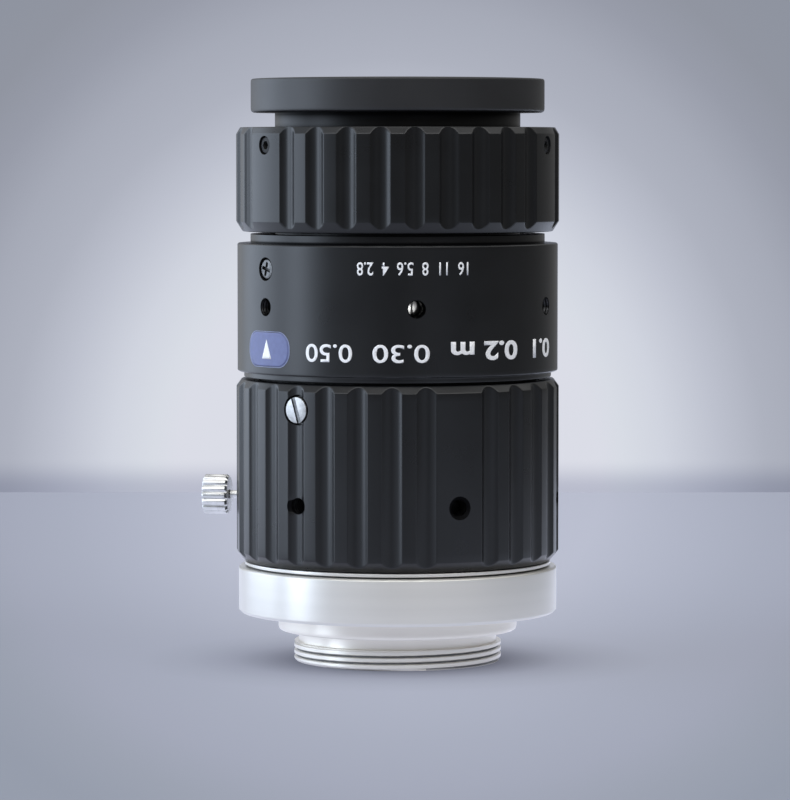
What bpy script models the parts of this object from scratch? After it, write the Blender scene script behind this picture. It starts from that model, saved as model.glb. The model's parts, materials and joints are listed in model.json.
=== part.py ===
"""A C-mount lens for a machine-vision camera, with a focus ring, an iris ring and a lock screw.

The lens stands on its threaded end. The origin is on the optical axis, in the plane of the
C-mount shoulder, and +Z points out of the front. Heights are measured from that shoulder.
Azimuths are in degrees, from -Y towards +X, as seen on the side that faces the viewer.
"""
import math

import bmesh
import bpy
from mathutils import Matrix, Vector

MM = 0.001

# Gaps
SEAT = 0.3 * MM      # between two pieces that rest on each other
RUN = 0.3 * MM       # between two pieces that turn or slide in each other
PIN_PLAY = 0.2 * MM  # round the small pins of the iris and the small screw heads
OVERCUT = 1 * MM     # how far a cutter runs past what it cuts

# Facets round a turned piece
OUTER_STEPS = 32
INNER_STEPS = 20
GLASS_STEPS = 12
SCREW_STEPS = 8
HOLE_STEPS = 8
FLUTE_STEPS = 10
SINK_STEPS = 12
PIN_STEPS = 6

# Mount
THREAD_RADIUS = 12.7 * MM
THREAD_LENGTH = 3.88 * MM
THREAD_CHAMFER = 0.45 * MM
RELIEF_LENGTH = 1.4 * MM
RELIEF_DEPTH = 0.55 * MM
SPIGOT_WALL = 1.7 * MM
SHOULDER_WIDTH = 1.95 * MM
SHOULDER_HEIGHT = 2.17 * MM
SHOULDER_BEVEL = (0.35 * MM, 0.55 * MM)
FLANGE_SET_IN = 0.25 * MM
FLANGE_HEIGHT = 5.66 * MM
FLANGE_BEVEL = 0.3 * MM
GROOVE_HEIGHT = 0.21 * MM
GROOVE_DEPTH = 0.55 * MM
BAND_SET_IN = 0.75 * MM
BAND_HEIGHT = 0.25 * MM
BASE_FLOOR = 4.0 * MM

# Grip rings
GRIP_WALL = 2.45 * MM
FLUTE_PITCH = 12.0
FLUTE_RADIUS = 1.75 * MM
FLUTE_DEPTH = 0.52 * MM
FLUTES_PER_LAND = 10
LANDS = 3
M2_HOLE_RADIUS = 1.0 * MM

# Focus ring
FOCUS_HEIGHT = 22.22 * MM
FOCUS_TOP_CHAMFER = (0.65 * MM, 0.9 * MM)
FOCUS_LOW_CHAMFER = (1.0 * MM, 1.2 * MM)
FOCUS_LAND = 22.0
FOCUS_LIP_HEIGHT = 2.3 * MM
FOCUS_HOLE_RISE = 7.67 * MM
COUNTERSINK = 0.42 * MM
FOCUS_HOLE_PITCH = 60.0
FOCUS_TRAVEL = 3.4 * MM

# Fixed sleeve inside the focus ring
TUBE_WALL = 1.4 * MM
SLEEVE_HEADROOM = 1.5 * MM
SLEEVE_FOOT_HEIGHT = 2.6 * MM
SLEEVE_FOOT_WIDTH = 2.6 * MM
SLEEVE_SCREW_SHANK = 0.55 * MM
SLEEVE_SCREW_HEAD = 0.7 * MM
SLEEVE_SCREW_SLOT = (0.3 * MM, 0.3 * MM, 30.0)
SCREW_FLOOR = 0.4 * MM
SLEEVE_SCREW_AZIMUTHS = (70.0, 190.0, 310.0)
KEY_WIDTH = 4.0 * MM
KEY_LENGTH = 5.0 * MM
KEY_DROP = 1.57 * MM
KEY_OVERRUN = 0.2 * MM
KEY_SLOT_ROOM = 1.0 * MM
KEY_AZIMUTH = 200.0
KEY_SCREW_SHANK = 0.5 * MM
KEY_SCREW_HEAD = (1.0 * MM, 0.8 * MM)
KEY_SCREW_SINK = 0.1 * MM
KEY_SCREW_SLOT = (0.25 * MM, 0.2 * MM, 0.0)

# Middle barrel
NAME_SET_IN = 0.15 * MM
NAME_HEIGHT = 15.64 * MM
LOW_NECK_STEP = 0.8 * MM
LOW_NECK_HEIGHT = 0.65 * MM
HIGH_NECK_STEP = 1.6 * MM
HIGH_NECK_HEIGHT = 1.1 * MM
NAME_BEVEL = 0.15 * MM
LOCK_HOLE_DROP = 7.5 * MM
LOCK_HOLE_RADIUS = 1.1 * MM
LOCK_HOLE_AZIMUTHS = (-54.0, 66.0, 186.0)
DEEP_HOLE_RADIUS = 1.1 * MM
DEEP_HOLE_AZIMUTHS = (6.6, 126.6, 246.6)
DEEP_SCREW_DEPTH = 5.2 * MM
DEEP_SCREW_SLOT = (0.3 * MM, 0.3 * MM, 0.0)
NAME_SCREW_DROP = 2.95 * MM
NAME_SCREW_AZIMUTHS = (-54.0, 126.0)
NAME_SCREW_RECESS = (1.42 * MM, 1.0 * MM)
NAME_SCREW_SHANK = 0.5 * MM
NAME_SCREW_CROSS = (0.32 * MM, 0.35 * MM, -15.0)

# Iris ring
IRIS_HEIGHT = 12.67 * MM
IRIS_TOP_CHAMFER = (0.5 * MM, 0.85 * MM)
IRIS_LOW_CHAMFER = (0.8 * MM, 1.25 * MM)
IRIS_LAND = 66.0
IRIS_LIP_HEIGHT = 1.1 * MM
GRUB_DROP = 2.2 * MM
GRUB_HOLE_RADIUS = 1.15 * MM
GRUB_RADIUS = 0.85 * MM
GRUB_RECESS = 0.2 * MM
GRUB_SOCKET = (0.4 * MM, 0.7 * MM)

# Front barrel
DRIVE_RING_WALL = 1.7 * MM
DRIVE_RING_HEADROOM = 0.57 * MM
FRONT_NECK_HEIGHT = 1.78 * MM
RIM_SET_IN = 1.8 * MM
RIM_HEIGHT = 4.12 * MM
RIM_BEVEL = 0.3 * MM
RIM_LOW_BEVEL = 0.5 * MM
RIM_WALL = 1.2 * MM
FILTER_DEPTH = 2.5 * MM
FRONT_CELL_WALL = 1.8 * MM
FRONT_CELL_FLOOR = 1.0 * MM
IRIS_CELL_WALL = 2.1 * MM
IRIS_LEDGE = 3.6 * MM
FRONT_FOOT_HEIGHT = 1.5 * MM

# Barrel of the rear group
CARRIER_HEAD = 3.34 * MM
CARRIER_BLOCK = 11.0 * MM
BARREL_CLEARANCE = 1.1 * MM
BARREL_WALL = 1.7 * MM
BARREL_FLANGE = 1.5 * MM
BARREL_SPIGOT = 1.3 * MM
REAR_CELL_CLEARANCE = 0.6 * MM
REAR_CELL_WALL = 1.2 * MM
REAR_CELL_RECESS = 2.14 * MM
REAR_CELL_DROP = 2.5 * MM
REAR_LEDGE = 1.2 * MM
MIDDLE_RING_DROP = 3.2 * MM
LAST_LEDGE = 1.0 * MM

# Glass: edge thickness, bulge of the lower face, bulge of the upper face
LENS_SEAT = 1.4 * MM
SPACER_WALL = 1.1 * MM
RETAINING_HEIGHT = 1.5 * MM
SPANNER_SLOT = (1.0 * MM, 0.7 * MM)
FRONT_LENSES = ((1.5 * MM, -1.2 * MM, 1.9 * MM), (1.6 * MM, 0.3 * MM, -0.5 * MM))
FRONT_SPACER = 0.8 * MM
REAR_LENSES = (
    (2.6 * MM, 1.5 * MM, 1.2 * MM),
    (2.2 * MM, -0.5 * MM, -0.4 * MM),
    (2.0 * MM, 1.0 * MM, 1.0 * MM),
    (2.2 * MM, 0.4 * MM, -0.5 * MM),
)
REAR_SPACERS = (3.0 * MM, 3.0 * MM, 3.7 * MM)
LAST_LENS = (3.0 * MM, 0.5 * MM, -0.6 * MM)
LAST_LENS_HEIGHT = 2.9 * MM

# Iris
BLADES = 6
BLADE_THICKNESS = 0.15 * MM
BLADE_PITCH = 0.3 * MM
BLADE_REACH = 125.0
BLADE_HEEL = 4.0
BLADE_WIDTH = 3.0 * MM
BLADE_HEADROOM = 0.1 * MM
SMALLEST_STOP = 0.9 * MM
HOUSING_LIP = 0.3 * MM
HOUSING_FLOOR = 0.8 * MM
HOUSING_WALL = 1.3 * MM
CAM_PLATE = 0.8 * MM
CAM_RIM_HEIGHT = 2.4 * MM
CAM_RIM_WALL = 1.1 * MM
CAM_WIDTH = 2.8 * MM
PIVOT_INSET = 0.7 * MM
BAND_INSET = 1.2 * MM
TAB_RADIUS = 0.85 * MM
PIN_RADIUS = 0.35 * MM
LEVER_ANGLE = 17.0
TAB_ANGLE = 22.0
IRIS_TURN = 50.0
DRIVE_PIN_RADIUS = 0.45 * MM
DRIVE_PIN_AZIMUTH = 150.0
RETAINER_PLATE = 0.8 * MM
RETAINER_WIDTH = 3.0 * MM

# Thumb screw
THUMB_AZIMUTH = -98.0
THUMB_NECK = 1.2 * MM
THUMB_NECK_RADIUS = 0.45 * MM
THUMB_NECK_SINK = 0.3 * MM
THUMB_HEAD_RADIUS = 2.45 * MM
THUMB_HEAD_LENGTH = 3.1 * MM
THUMB_SHANK_RADIUS = 0.7 * MM
THUMB_RIDGES = 20
THUMB_RIDGE_DEPTH = 0.28 * MM
THUMB_CHAMFER = 0.35 * MM

# Stop screw
STOP_AZIMUTH = -38.0
STOP_DROP = 3.05 * MM
STOP_HEAD_RADIUS = 1.55 * MM
STOP_HEAD_HEIGHT = 0.8 * MM
STOP_HEAD_SINK = 0.15 * MM
STOP_SHANK = 0.6 * MM
STOP_SLOT = (0.36 * MM, 0.35 * MM, 18.0)

# Radii that follow, from the mount's thread outwards and then into the barrels
SHOULDER_RADIUS = THREAD_RADIUS + SHOULDER_WIDTH
SPIGOT_BORE = THREAD_RADIUS - SPIGOT_WALL
SLEEVE_FOOT_BORE = SPIGOT_BORE + SEAT
SLEEVE_BORE = SLEEVE_FOOT_BORE + SLEEVE_FOOT_WIDTH
SLEEVE_RADIUS = SLEEVE_BORE + TUBE_WALL
CARRIER_BORE = SLEEVE_RADIUS + RUN
CARRIER_RADIUS = CARRIER_BORE + TUBE_WALL
RING_BORE = CARRIER_RADIUS + RUN
GRIP_RADIUS = RING_BORE + GRIP_WALL
FLANGE_RADIUS = GRIP_RADIUS - FLANGE_SET_IN
BAND_RADIUS = FLANGE_RADIUS - BAND_SET_IN
NAME_RADIUS = GRIP_RADIUS - NAME_SET_IN
LOW_NECK_RADIUS = NAME_RADIUS - LOW_NECK_STEP
HIGH_NECK_RADIUS = NAME_RADIUS - HIGH_NECK_STEP
RIM_RADIUS = GRIP_RADIUS - RIM_SET_IN
BARREL_RADIUS = SLEEVE_BORE - BARREL_CLEARANCE
BARREL_BORE = BARREL_RADIUS - BARREL_WALL
REAR_CELL_RADIUS = SPIGOT_BORE - REAR_CELL_CLEARANCE
REAR_CELL_BORE = REAR_CELL_RADIUS - REAR_CELL_WALL
DRIVE_RING_RADIUS = RING_BORE - SEAT
DRIVE_RING_BORE = DRIVE_RING_RADIUS - DRIVE_RING_WALL
FRONT_TUBE_RADIUS = DRIVE_RING_BORE - RUN
FRONT_CELL_BORE = FRONT_TUBE_RADIUS - FRONT_CELL_WALL
IRIS_CELL_BORE = FRONT_TUBE_RADIUS - IRIS_CELL_WALL
FILTER_RADIUS = RIM_RADIUS - RIM_WALL
HOUSING_RADIUS = IRIS_CELL_BORE - SEAT
HOUSING_BORE = HOUSING_RADIUS - HOUSING_WALL
CAM_RADIUS = HOUSING_BORE - RUN
CAM_RIM_BORE = CAM_RADIUS - CAM_RIM_WALL
PIVOT_RADIUS = CAM_RIM_BORE - PIVOT_INSET
CAM_INNER_RADIUS = PIVOT_RADIUS - CAM_WIDTH
BLADE_OUTER = PIVOT_RADIUS - BAND_INSET
STOP_RADIUS = BLADE_OUTER - BLADE_WIDTH
HOUSING_OPENING = STOP_RADIUS - HOUSING_LIP
FRONT_GLASS = FRONT_CELL_BORE - SEAT
REAR_GLASS = BARREL_BORE - SEAT
LAST_GLASS = REAR_CELL_BORE - SEAT

# Heights that follow, from the shoulder upwards
Z_REAR = -THREAD_LENGTH
Z_FLANGE_TOP = SHOULDER_HEIGHT + FLANGE_HEIGHT
Z_BAND_TOP = Z_FLANGE_TOP + GROOVE_HEIGHT + BAND_HEIGHT
Z_FOCUS_LOW = Z_BAND_TOP + SEAT
Z_FOCUS_TOP = Z_FOCUS_LOW + FOCUS_HEIGHT
Z_FOCUS_HOLES = Z_FOCUS_LOW + FOCUS_HOLE_RISE
Z_STOP = Z_FOCUS_TOP - STOP_DROP
Z_NAME_NECK = Z_FOCUS_TOP + RUN
Z_NAME_LOW = Z_NAME_NECK + LOW_NECK_HEIGHT
Z_NAME_TOP = Z_NAME_LOW + NAME_HEIGHT
Z_NAME_END = Z_NAME_TOP + HIGH_NECK_HEIGHT
Z_CARRIER_TOP = Z_NAME_TOP - SEAT
Z_LEDGE = Z_CARRIER_TOP - CARRIER_HEAD
Z_BLOCK_LOW = Z_LEDGE - CARRIER_BLOCK
Z_SLEEVE_LOW = BASE_FLOOR + SEAT
Z_SLEEVE_TOP = Z_BLOCK_LOW - SLEEVE_HEADROOM
Z_KEY_LOW = Z_SLEEVE_TOP - KEY_DROP - KEY_LENGTH
Z_CARRIER_LOW = Z_KEY_LOW + KEY_OVERRUN - FOCUS_TRAVEL
Z_RETAINER_LOW = Z_FOCUS_LOW + FOCUS_LIP_HEIGHT + RUN
Z_RETAINER_TOP = Z_CARRIER_LOW - SEAT
Z_IRIS_LOW = Z_NAME_END + RUN
Z_IRIS_TOP = Z_IRIS_LOW + IRIS_HEIGHT
Z_DRIVE_RING_TOP = Z_IRIS_TOP - IRIS_LIP_HEIGHT - DRIVE_RING_HEADROOM
Z_RIM_LOW = Z_IRIS_TOP + FRONT_NECK_HEIGHT
Z_RIM_TOP = Z_RIM_LOW + RIM_HEIGHT
Z_BARREL_FLANGE = Z_LEDGE + SEAT
Z_FRONT_FOOT = Z_BARREL_FLANGE + BARREL_FLANGE + SEAT
Z_BARREL_TOP = Z_BARREL_FLANGE + BARREL_FLANGE + BARREL_SPIGOT
Z_HOUSING = Z_BARREL_TOP + SEAT
Z_BLADES = Z_HOUSING + HOUSING_FLOOR + PIN_PLAY
Z_CAM = Z_BLADES + BLADES * BLADE_PITCH + BLADE_HEADROOM
Z_CAM_TOP = Z_CAM + CAM_PLATE + CAM_RIM_HEIGHT
Z_DRIVE_PIN = Z_CAM + CAM_PLATE + CAM_RIM_HEIGHT / 2
Z_IRIS_RETAINER = Z_CAM_TOP + SEAT
Z_FRONT_LEDGE = Z_IRIS_RETAINER + RETAINER_PLATE + SEAT
Z_FRONT_CELL = Z_FRONT_LEDGE + FRONT_CELL_FLOOR
REAR_CELL_END = Z_REAR + REAR_CELL_RECESS


def material(name, colour, roughness, metallic, transmission=0.0):
    """A Principled material of one plain finish."""
    made = bpy.data.materials.new(name)
    made.use_nodes = True
    shader = made.node_tree.nodes["Principled BSDF"]
    shader.inputs["Base Color"].default_value = (*colour, 1.0)
    shader.inputs["Roughness"].default_value = roughness
    shader.inputs["Metallic"].default_value = metallic
    shader.inputs["Transmission Weight"].default_value = transmission
    return made


def finish(name, bm, surface, smooth=True):
    """Turn a bmesh into a named object with its faces pointing out."""
    bmesh.ops.recalc_face_normals(bm, faces=bm.faces)
    mesh = bpy.data.meshes.new(name)
    bm.to_mesh(mesh)
    bm.free()
    if smooth:
        mesh.shade_smooth()
        mesh.set_sharp_from_angle(angle=math.radians(30))
    if surface is not None:
        mesh.materials.append(surface)
    made = bpy.data.objects.new(name, mesh)
    bpy.context.scene.collection.objects.link(made)
    return made


def cutter(name, bm):
    """A hidden solid that a Boolean takes away."""
    made = finish(name, bm, None, smooth=False)
    made.hide_render = True
    made.display_type = "WIRE"
    return made


def cut(target, tool, operation="DIFFERENCE"):
    """Add a Boolean to the target and hide its tool."""
    step = target.modifiers.new(tool.name, "BOOLEAN")
    step.operation = operation
    step.object = tool
    step.solver = "EXACT"


def spin_outline(bm, outline, steps, closed=True):
    """Turn an outline of (radius, height) points about Z into the bmesh."""
    verts = [bm.verts.new((radius, 0.0, height)) for radius, height in outline]
    pairs = list(zip(verts, verts[1:]))
    if closed:
        pairs.append((verts[-1], verts[0]))
    edges = [bm.edges.new(pair) for pair in pairs]
    bmesh.ops.spin(bm, geom=verts + edges, cent=(0, 0, 0), axis=(0, 0, 1),
                   angle=2 * math.pi, steps=steps, use_merge=True)
    bmesh.ops.remove_doubles(bm, verts=bm.verts, dist=1e-7)


def turned(name, outline, steps, surface, closed=True):
    """A piece turned on a lathe from a closed outline, or from an open one that ends on the axis."""
    bm = bmesh.new()
    spin_outline(bm, outline, steps, closed)
    return finish(name, bm, surface)


def ring(name, bore, radius, low, high, steps, surface):
    """A plain turned ring."""
    outline = [(bore, low), (radius, low), (radius, high), (bore, high)]
    return turned(name, outline, steps, surface)


def radial(azimuth, height=0.0, reach=0.0):
    """Frame whose Z points outwards at an azimuth, with X to the right and Y up."""
    angle = math.radians(azimuth)
    out = Vector((math.sin(angle), -math.cos(angle), 0.0))
    right = Vector((math.cos(angle), math.sin(angle), 0.0))
    frame = Matrix((right, Vector((0, 0, 1)), out)).transposed().to_4x4()
    frame.translation = out * reach + Vector((0, 0, height))
    return frame


def axial(azimuth, reach, height=0.0):
    """Frame parallel to the optical axis, at an azimuth and a distance from it."""
    angle = math.radians(azimuth)
    return Matrix.Translation((reach * math.sin(angle), -reach * math.cos(angle), height))


def add_rod(bm, frame, radius, low, high, steps=HOLE_STEPS, flare=0.0):
    """Add a cylinder that lies along the frame's Z, from low to high, wider by flare at the top."""
    place = frame @ Matrix.Translation((0, 0, (low + high) / 2))
    bmesh.ops.create_cone(bm, cap_ends=True, segments=steps, radius1=radius, radius2=radius + flare,
                          depth=high - low, matrix=place)


def rods(name, frames, radius, low, high, steps=HOLE_STEPS, flare=0.0):
    """One cutter of several like cylinders or cones."""
    bm = bmesh.new()
    for frame in frames:
        add_rod(bm, frame, radius, low, high, steps, flare)
    return cutter(name, bm)


def add_box(bm, frame, size, centre):
    """Add a box of a size (x, y, z) about a centre in the frame."""
    place = frame @ Matrix.Translation(centre) @ Matrix.Diagonal((*size, 1.0))
    bmesh.ops.create_cube(bm, size=1.0, matrix=place)


def add_plate(bm, points, low, high):
    """Add a flat plate with the given (x, y) outline between two heights."""
    bottom = [bm.verts.new((x, y, low)) for x, y in points]
    top = [bm.verts.new((x, y, high)) for x, y in points]
    bm.faces.new(list(reversed(bottom)))
    bm.faces.new(top)
    for index in range(len(points)):
        after = (index + 1) % len(points)
        bm.faces.new((bottom[index], bottom[after], top[after], top[index]))


def polar(radius, degrees):
    """Point (x, y) at a radius and an angle from +X."""
    angle = math.radians(degrees)
    return (radius * math.cos(angle), radius * math.sin(angle))


def arc(radius, start, end, steps, centre=(0.0, 0.0)):
    """Points along an arc, both ends included."""
    points = []
    for step in range(steps + 1):
        x, y = polar(radius, start + (end - start) * step / steps)
        points.append((centre[0] + x, centre[1] + y))
    return points


def sector_cutter(name, inner, outer, low, high, start, span):
    """A cutter in the form of a piece of a ring, for a slot that runs round a tube."""
    steps = max(4, round(span / 8))
    points = arc(outer, start, start + span, steps) + arc(inner, start + span, start, steps)
    bm = bmesh.new()
    add_plate(bm, points, low, high)
    return cutter(name, bm)


def hang(child, parent):
    """Parent an object and leave it where it is."""
    child.parent = parent
    child.matrix_parent_inverse = parent.matrix_world.inverted()


def pivot(name, frame):
    """An empty on a joint's axis."""
    made = bpy.data.objects.new(name, None)
    made.empty_display_size = 0.005
    made.matrix_world = frame
    bpy.context.scene.collection.objects.link(made)
    return made


def screw(name, frame, head, shank, surface, slot=None, cross=False):
    """A screw along the frame's Z: head (radius, low, high) and shank (radius, low).

    A slot is (width, depth, tilt in degrees). With cross, a second slot crosses the first.
    """
    head_radius, head_low, head_high = head
    shank_radius, shank_low = shank
    outline = [(0.0, shank_low), (shank_radius, shank_low), (shank_radius, head_low),
               (head_radius, head_low), (head_radius, head_high), (0.0, head_high)]
    if shank_radius == head_radius:
        outline = outline[:2] + outline[4:]
    made = turned(name, outline, SCREW_STEPS, surface, closed=False)
    made.matrix_world = frame
    if slot:
        width, depth, tilt = slot
        reach = (1.3 if cross else 2.4) * head_radius
        bm = bmesh.new()
        turned_frame = frame @ Matrix.Rotation(math.radians(tilt), 4, "Z")
        centre = (0.0, 0.0, head_high)
        add_box(bm, turned_frame, (width, reach, 2 * depth), centre)
        cut(made, cutter(name + "_slot", bm))
        if cross:
            bm = bmesh.new()
            add_box(bm, turned_frame, (reach, width, 2 * depth), centre)
            cut(made, cutter(name + "_cross", bm))
    return made


def flute_azimuths(land):
    """Azimuths of the flutes: every pitch round the ring, with a land left at three places."""
    every = LANDS * FLUTES_PER_LAND
    return [land + FLUTE_PITCH * step for step in range(every) if step % FLUTES_PER_LAND]


def grip_ring(name, outline, low, high, land, surface):
    """A grip ring with flutes that run out on its two chamfers."""
    made = turned(name, outline, OUTER_STEPS, surface)
    reach = GRIP_RADIUS + FLUTE_RADIUS - FLUTE_DEPTH
    frames = [axial(azimuth, reach) for azimuth in flute_azimuths(land)]
    cut(made, rods(name + "_flutes", frames, FLUTE_RADIUS, low - OVERCUT, high + OVERCUT, FLUTE_STEPS))
    return made


def ring_outline(radius, low, high, low_chamfer, top_chamfer):
    """Outer side of a chamfered ring, from its low face up to its top face."""
    low_in, low_up = low_chamfer
    top_in, top_down = top_chamfer
    return [(radius - low_in, low), (radius, low + low_up),
            (radius, high - top_down), (radius - top_in, high)]


def make_mount(silver, black, steel):
    """The silver base, the sleeve screwed into it, the retainer and the key."""
    seat_bore = SLEEVE_RADIUS + SEAT
    relief = THREAD_RADIUS - RELIEF_DEPTH
    groove = BAND_RADIUS - GROOVE_DEPTH
    bevel_in, bevel_up = SHOULDER_BEVEL
    outline = [
        (SPIGOT_BORE, Z_REAR), (THREAD_RADIUS - THREAD_CHAMFER, Z_REAR),
        (THREAD_RADIUS, Z_REAR + THREAD_CHAMFER), (THREAD_RADIUS, -RELIEF_LENGTH),
        (relief, -RELIEF_LENGTH), (relief, 0.0), (SHOULDER_RADIUS - bevel_in, 0.0),
        (SHOULDER_RADIUS, bevel_up), (SHOULDER_RADIUS, SHOULDER_HEIGHT),
        (FLANGE_RADIUS - FLANGE_BEVEL, SHOULDER_HEIGHT),
        (FLANGE_RADIUS, SHOULDER_HEIGHT + FLANGE_BEVEL), (FLANGE_RADIUS, Z_FLANGE_TOP - FLANGE_BEVEL),
        (FLANGE_RADIUS - FLANGE_BEVEL, Z_FLANGE_TOP), (groove, Z_FLANGE_TOP),
        (groove, Z_FLANGE_TOP + GROOVE_HEIGHT), (BAND_RADIUS, Z_FLANGE_TOP + GROOVE_HEIGHT),
        (BAND_RADIUS, Z_BAND_TOP), (seat_bore, Z_BAND_TOP), (seat_bore, BASE_FLOOR),
        (SPIGOT_BORE, BASE_FLOOR),
    ]
    base = turned("mount_base", outline, OUTER_STEPS, silver)

    foot_top = Z_SLEEVE_LOW + SLEEVE_FOOT_HEIGHT
    sleeve_outline = [
        (SLEEVE_FOOT_BORE, Z_SLEEVE_LOW), (SLEEVE_RADIUS, Z_SLEEVE_LOW), (SLEEVE_RADIUS, Z_SLEEVE_TOP),
        (SLEEVE_BORE, Z_SLEEVE_TOP), (SLEEVE_BORE, foot_top), (SLEEVE_FOOT_BORE, foot_top),
    ]
    sleeve = turned("guide_sleeve", sleeve_outline, INNER_STEPS, black)
    screw_reach = (SLEEVE_FOOT_BORE + SLEEVE_BORE) / 2
    head_radius = (SLEEVE_BORE - SLEEVE_FOOT_BORE) / 2 - PIN_PLAY
    frames = [axial(azimuth, screw_reach, foot_top) for azimuth in SLEEVE_SCREW_AZIMUTHS]
    depth = foot_top - SHOULDER_HEIGHT - SCREW_FLOOR
    holes = rods("sleeve_screw_holes", frames, SLEEVE_SCREW_SHANK + SEAT, -depth, OVERCUT, 8)
    cut(base, holes)
    cut(sleeve, holes)
    for number, frame in enumerate(frames, start=1):
        screw("sleeve_screw_%d" % number, frame, (head_radius, SEAT, SEAT + SLEEVE_SCREW_HEAD),
              (SLEEVE_SCREW_SHANK, SEAT - depth), steel, slot=SLEEVE_SCREW_SLOT)

    ring("focus_retainer", SLEEVE_RADIUS + SEAT, CARRIER_RADIUS,
         Z_RETAINER_LOW, Z_RETAINER_TOP, INNER_STEPS, black)

    key_frame = radial(KEY_AZIMUTH, Z_KEY_LOW + KEY_LENGTH / 2)
    key_inner = CARRIER_BORE
    key_outer = CARRIER_RADIUS - PIN_PLAY
    bm = bmesh.new()
    add_box(bm, key_frame, (KEY_WIDTH, KEY_LENGTH, key_outer - key_inner),
            (0, 0, (key_inner + key_outer) / 2))
    key = finish("guide_key", bm, steel, smooth=False)
    head_radius, head_depth = KEY_SCREW_HEAD
    head_seat = key_outer - head_depth
    through = rods("key_screw_hole", [key_frame], KEY_SCREW_SHANK + SEAT, SLEEVE_BORE - OVERCUT,
                   CARRIER_RADIUS + OVERCUT)
    sink = rods("key_screw_sink", [key_frame], head_radius + SEAT, head_seat,
                CARRIER_RADIUS + OVERCUT)
    cut(key, through)
    cut(key, sink)
    cut(sleeve, through)
    screw("guide_key_screw", key_frame,
          (head_radius, head_seat + PIN_PLAY, key_outer - KEY_SCREW_SINK),
          (KEY_SCREW_SHANK, SLEEVE_BORE + PIN_PLAY), steel, slot=KEY_SCREW_SLOT)


def make_focus_ring(black, silver):
    """The fluted focus ring, its slotted screw and its lock screw."""
    outer = ring_outline(GRIP_RADIUS, Z_FOCUS_LOW, Z_FOCUS_TOP, FOCUS_LOW_CHAMFER, FOCUS_TOP_CHAMFER)
    lip = SLEEVE_RADIUS + RUN
    lip_top = Z_FOCUS_LOW + FOCUS_LIP_HEIGHT
    outline = outer + [(RING_BORE, Z_FOCUS_TOP), (RING_BORE, lip_top), (lip, lip_top),
                       (lip, Z_FOCUS_LOW)]
    made = grip_ring("focus_ring", outline, Z_FOCUS_LOW, Z_FOCUS_TOP, FOCUS_LAND, black)
    holes = round(360 / FOCUS_HOLE_PITCH)
    frames = [radial(FOCUS_LAND + FOCUS_HOLE_PITCH * step, Z_FOCUS_HOLES) for step in range(holes)]
    inside = RING_BORE - PIN_PLAY
    outside = GRIP_RADIUS + OVERCUT
    cut(made, rods("focus_ring_holes", frames, M2_HOLE_RADIUS, inside, outside))
    cut(made, rods("focus_ring_countersink", frames, M2_HOLE_RADIUS, GRIP_RADIUS - COUNTERSINK,
                   outside, flare=COUNTERSINK + OVERCUT))

    frame = radial(STOP_AZIMUTH, Z_STOP)
    head_top = GRIP_RADIUS - STOP_HEAD_SINK
    head_low = head_top - STOP_HEAD_HEIGHT
    cut(made, rods("stop_screw_sink", [frame], STOP_HEAD_RADIUS + PIN_PLAY, head_low - PIN_PLAY,
                   outside, SINK_STEPS))
    cut(made, rods("stop_screw_hole", [frame], STOP_SHANK + SEAT, inside, outside))
    stop = screw("stop_screw", frame, (STOP_HEAD_RADIUS, head_low, head_top),
                 (STOP_SHANK, RING_BORE + PIN_PLAY), silver, slot=STOP_SLOT)

    axis = pivot("focus_turn", Matrix.Translation((0, 0, Z_FOCUS_LOW)))
    thumb = make_thumb_screw(silver)
    for piece in (made, stop, thumb):
        hang(piece, axis)


def make_thumb_screw(silver):
    """The knurled lock screw, with its origin on its own axis at the ring's surface."""
    steps = 2 * THUMB_RIDGES
    head_low = THUMB_NECK
    head_high = THUMB_NECK + THUMB_HEAD_LENGTH
    tip = CARRIER_RADIUS + SEAT - GRIP_RADIUS
    rows = [
        (tip, THUMB_SHANK_RADIUS, 0.0), (-THUMB_NECK_SINK, THUMB_SHANK_RADIUS, 0.0),
        (-THUMB_NECK_SINK, THUMB_NECK_RADIUS, 0.0), (head_low, THUMB_NECK_RADIUS, 0.0),
        (head_low, THUMB_HEAD_RADIUS - THUMB_CHAMFER, 0.0),
        (head_low + THUMB_CHAMFER, THUMB_HEAD_RADIUS, THUMB_RIDGE_DEPTH),
        (head_high - THUMB_CHAMFER, THUMB_HEAD_RADIUS, THUMB_RIDGE_DEPTH),
        (head_high, THUMB_HEAD_RADIUS - THUMB_CHAMFER, 0.0),
    ]
    bm = bmesh.new()
    loops = []
    for height, radius, ridge in rows:
        loop = []
        for step in range(steps):
            x, y = polar(radius - ridge * (step % 2), 360 * step / steps)
            loop.append(bm.verts.new((x, y, height)))
        loops.append(loop)
    for lower, upper in zip(loops, loops[1:]):
        for step in range(steps):
            after = (step + 1) % steps
            bm.faces.new((lower[step], lower[after], upper[after], upper[step]))
    bm.faces.new(list(reversed(loops[0])))
    bm.faces.new(loops[-1])
    made = finish("thumb_screw", bm, silver, smooth=False)
    made.matrix_world = radial(THUMB_AZIMUTH, Z_FOCUS_HOLES, GRIP_RADIUS)
    return made


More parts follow.
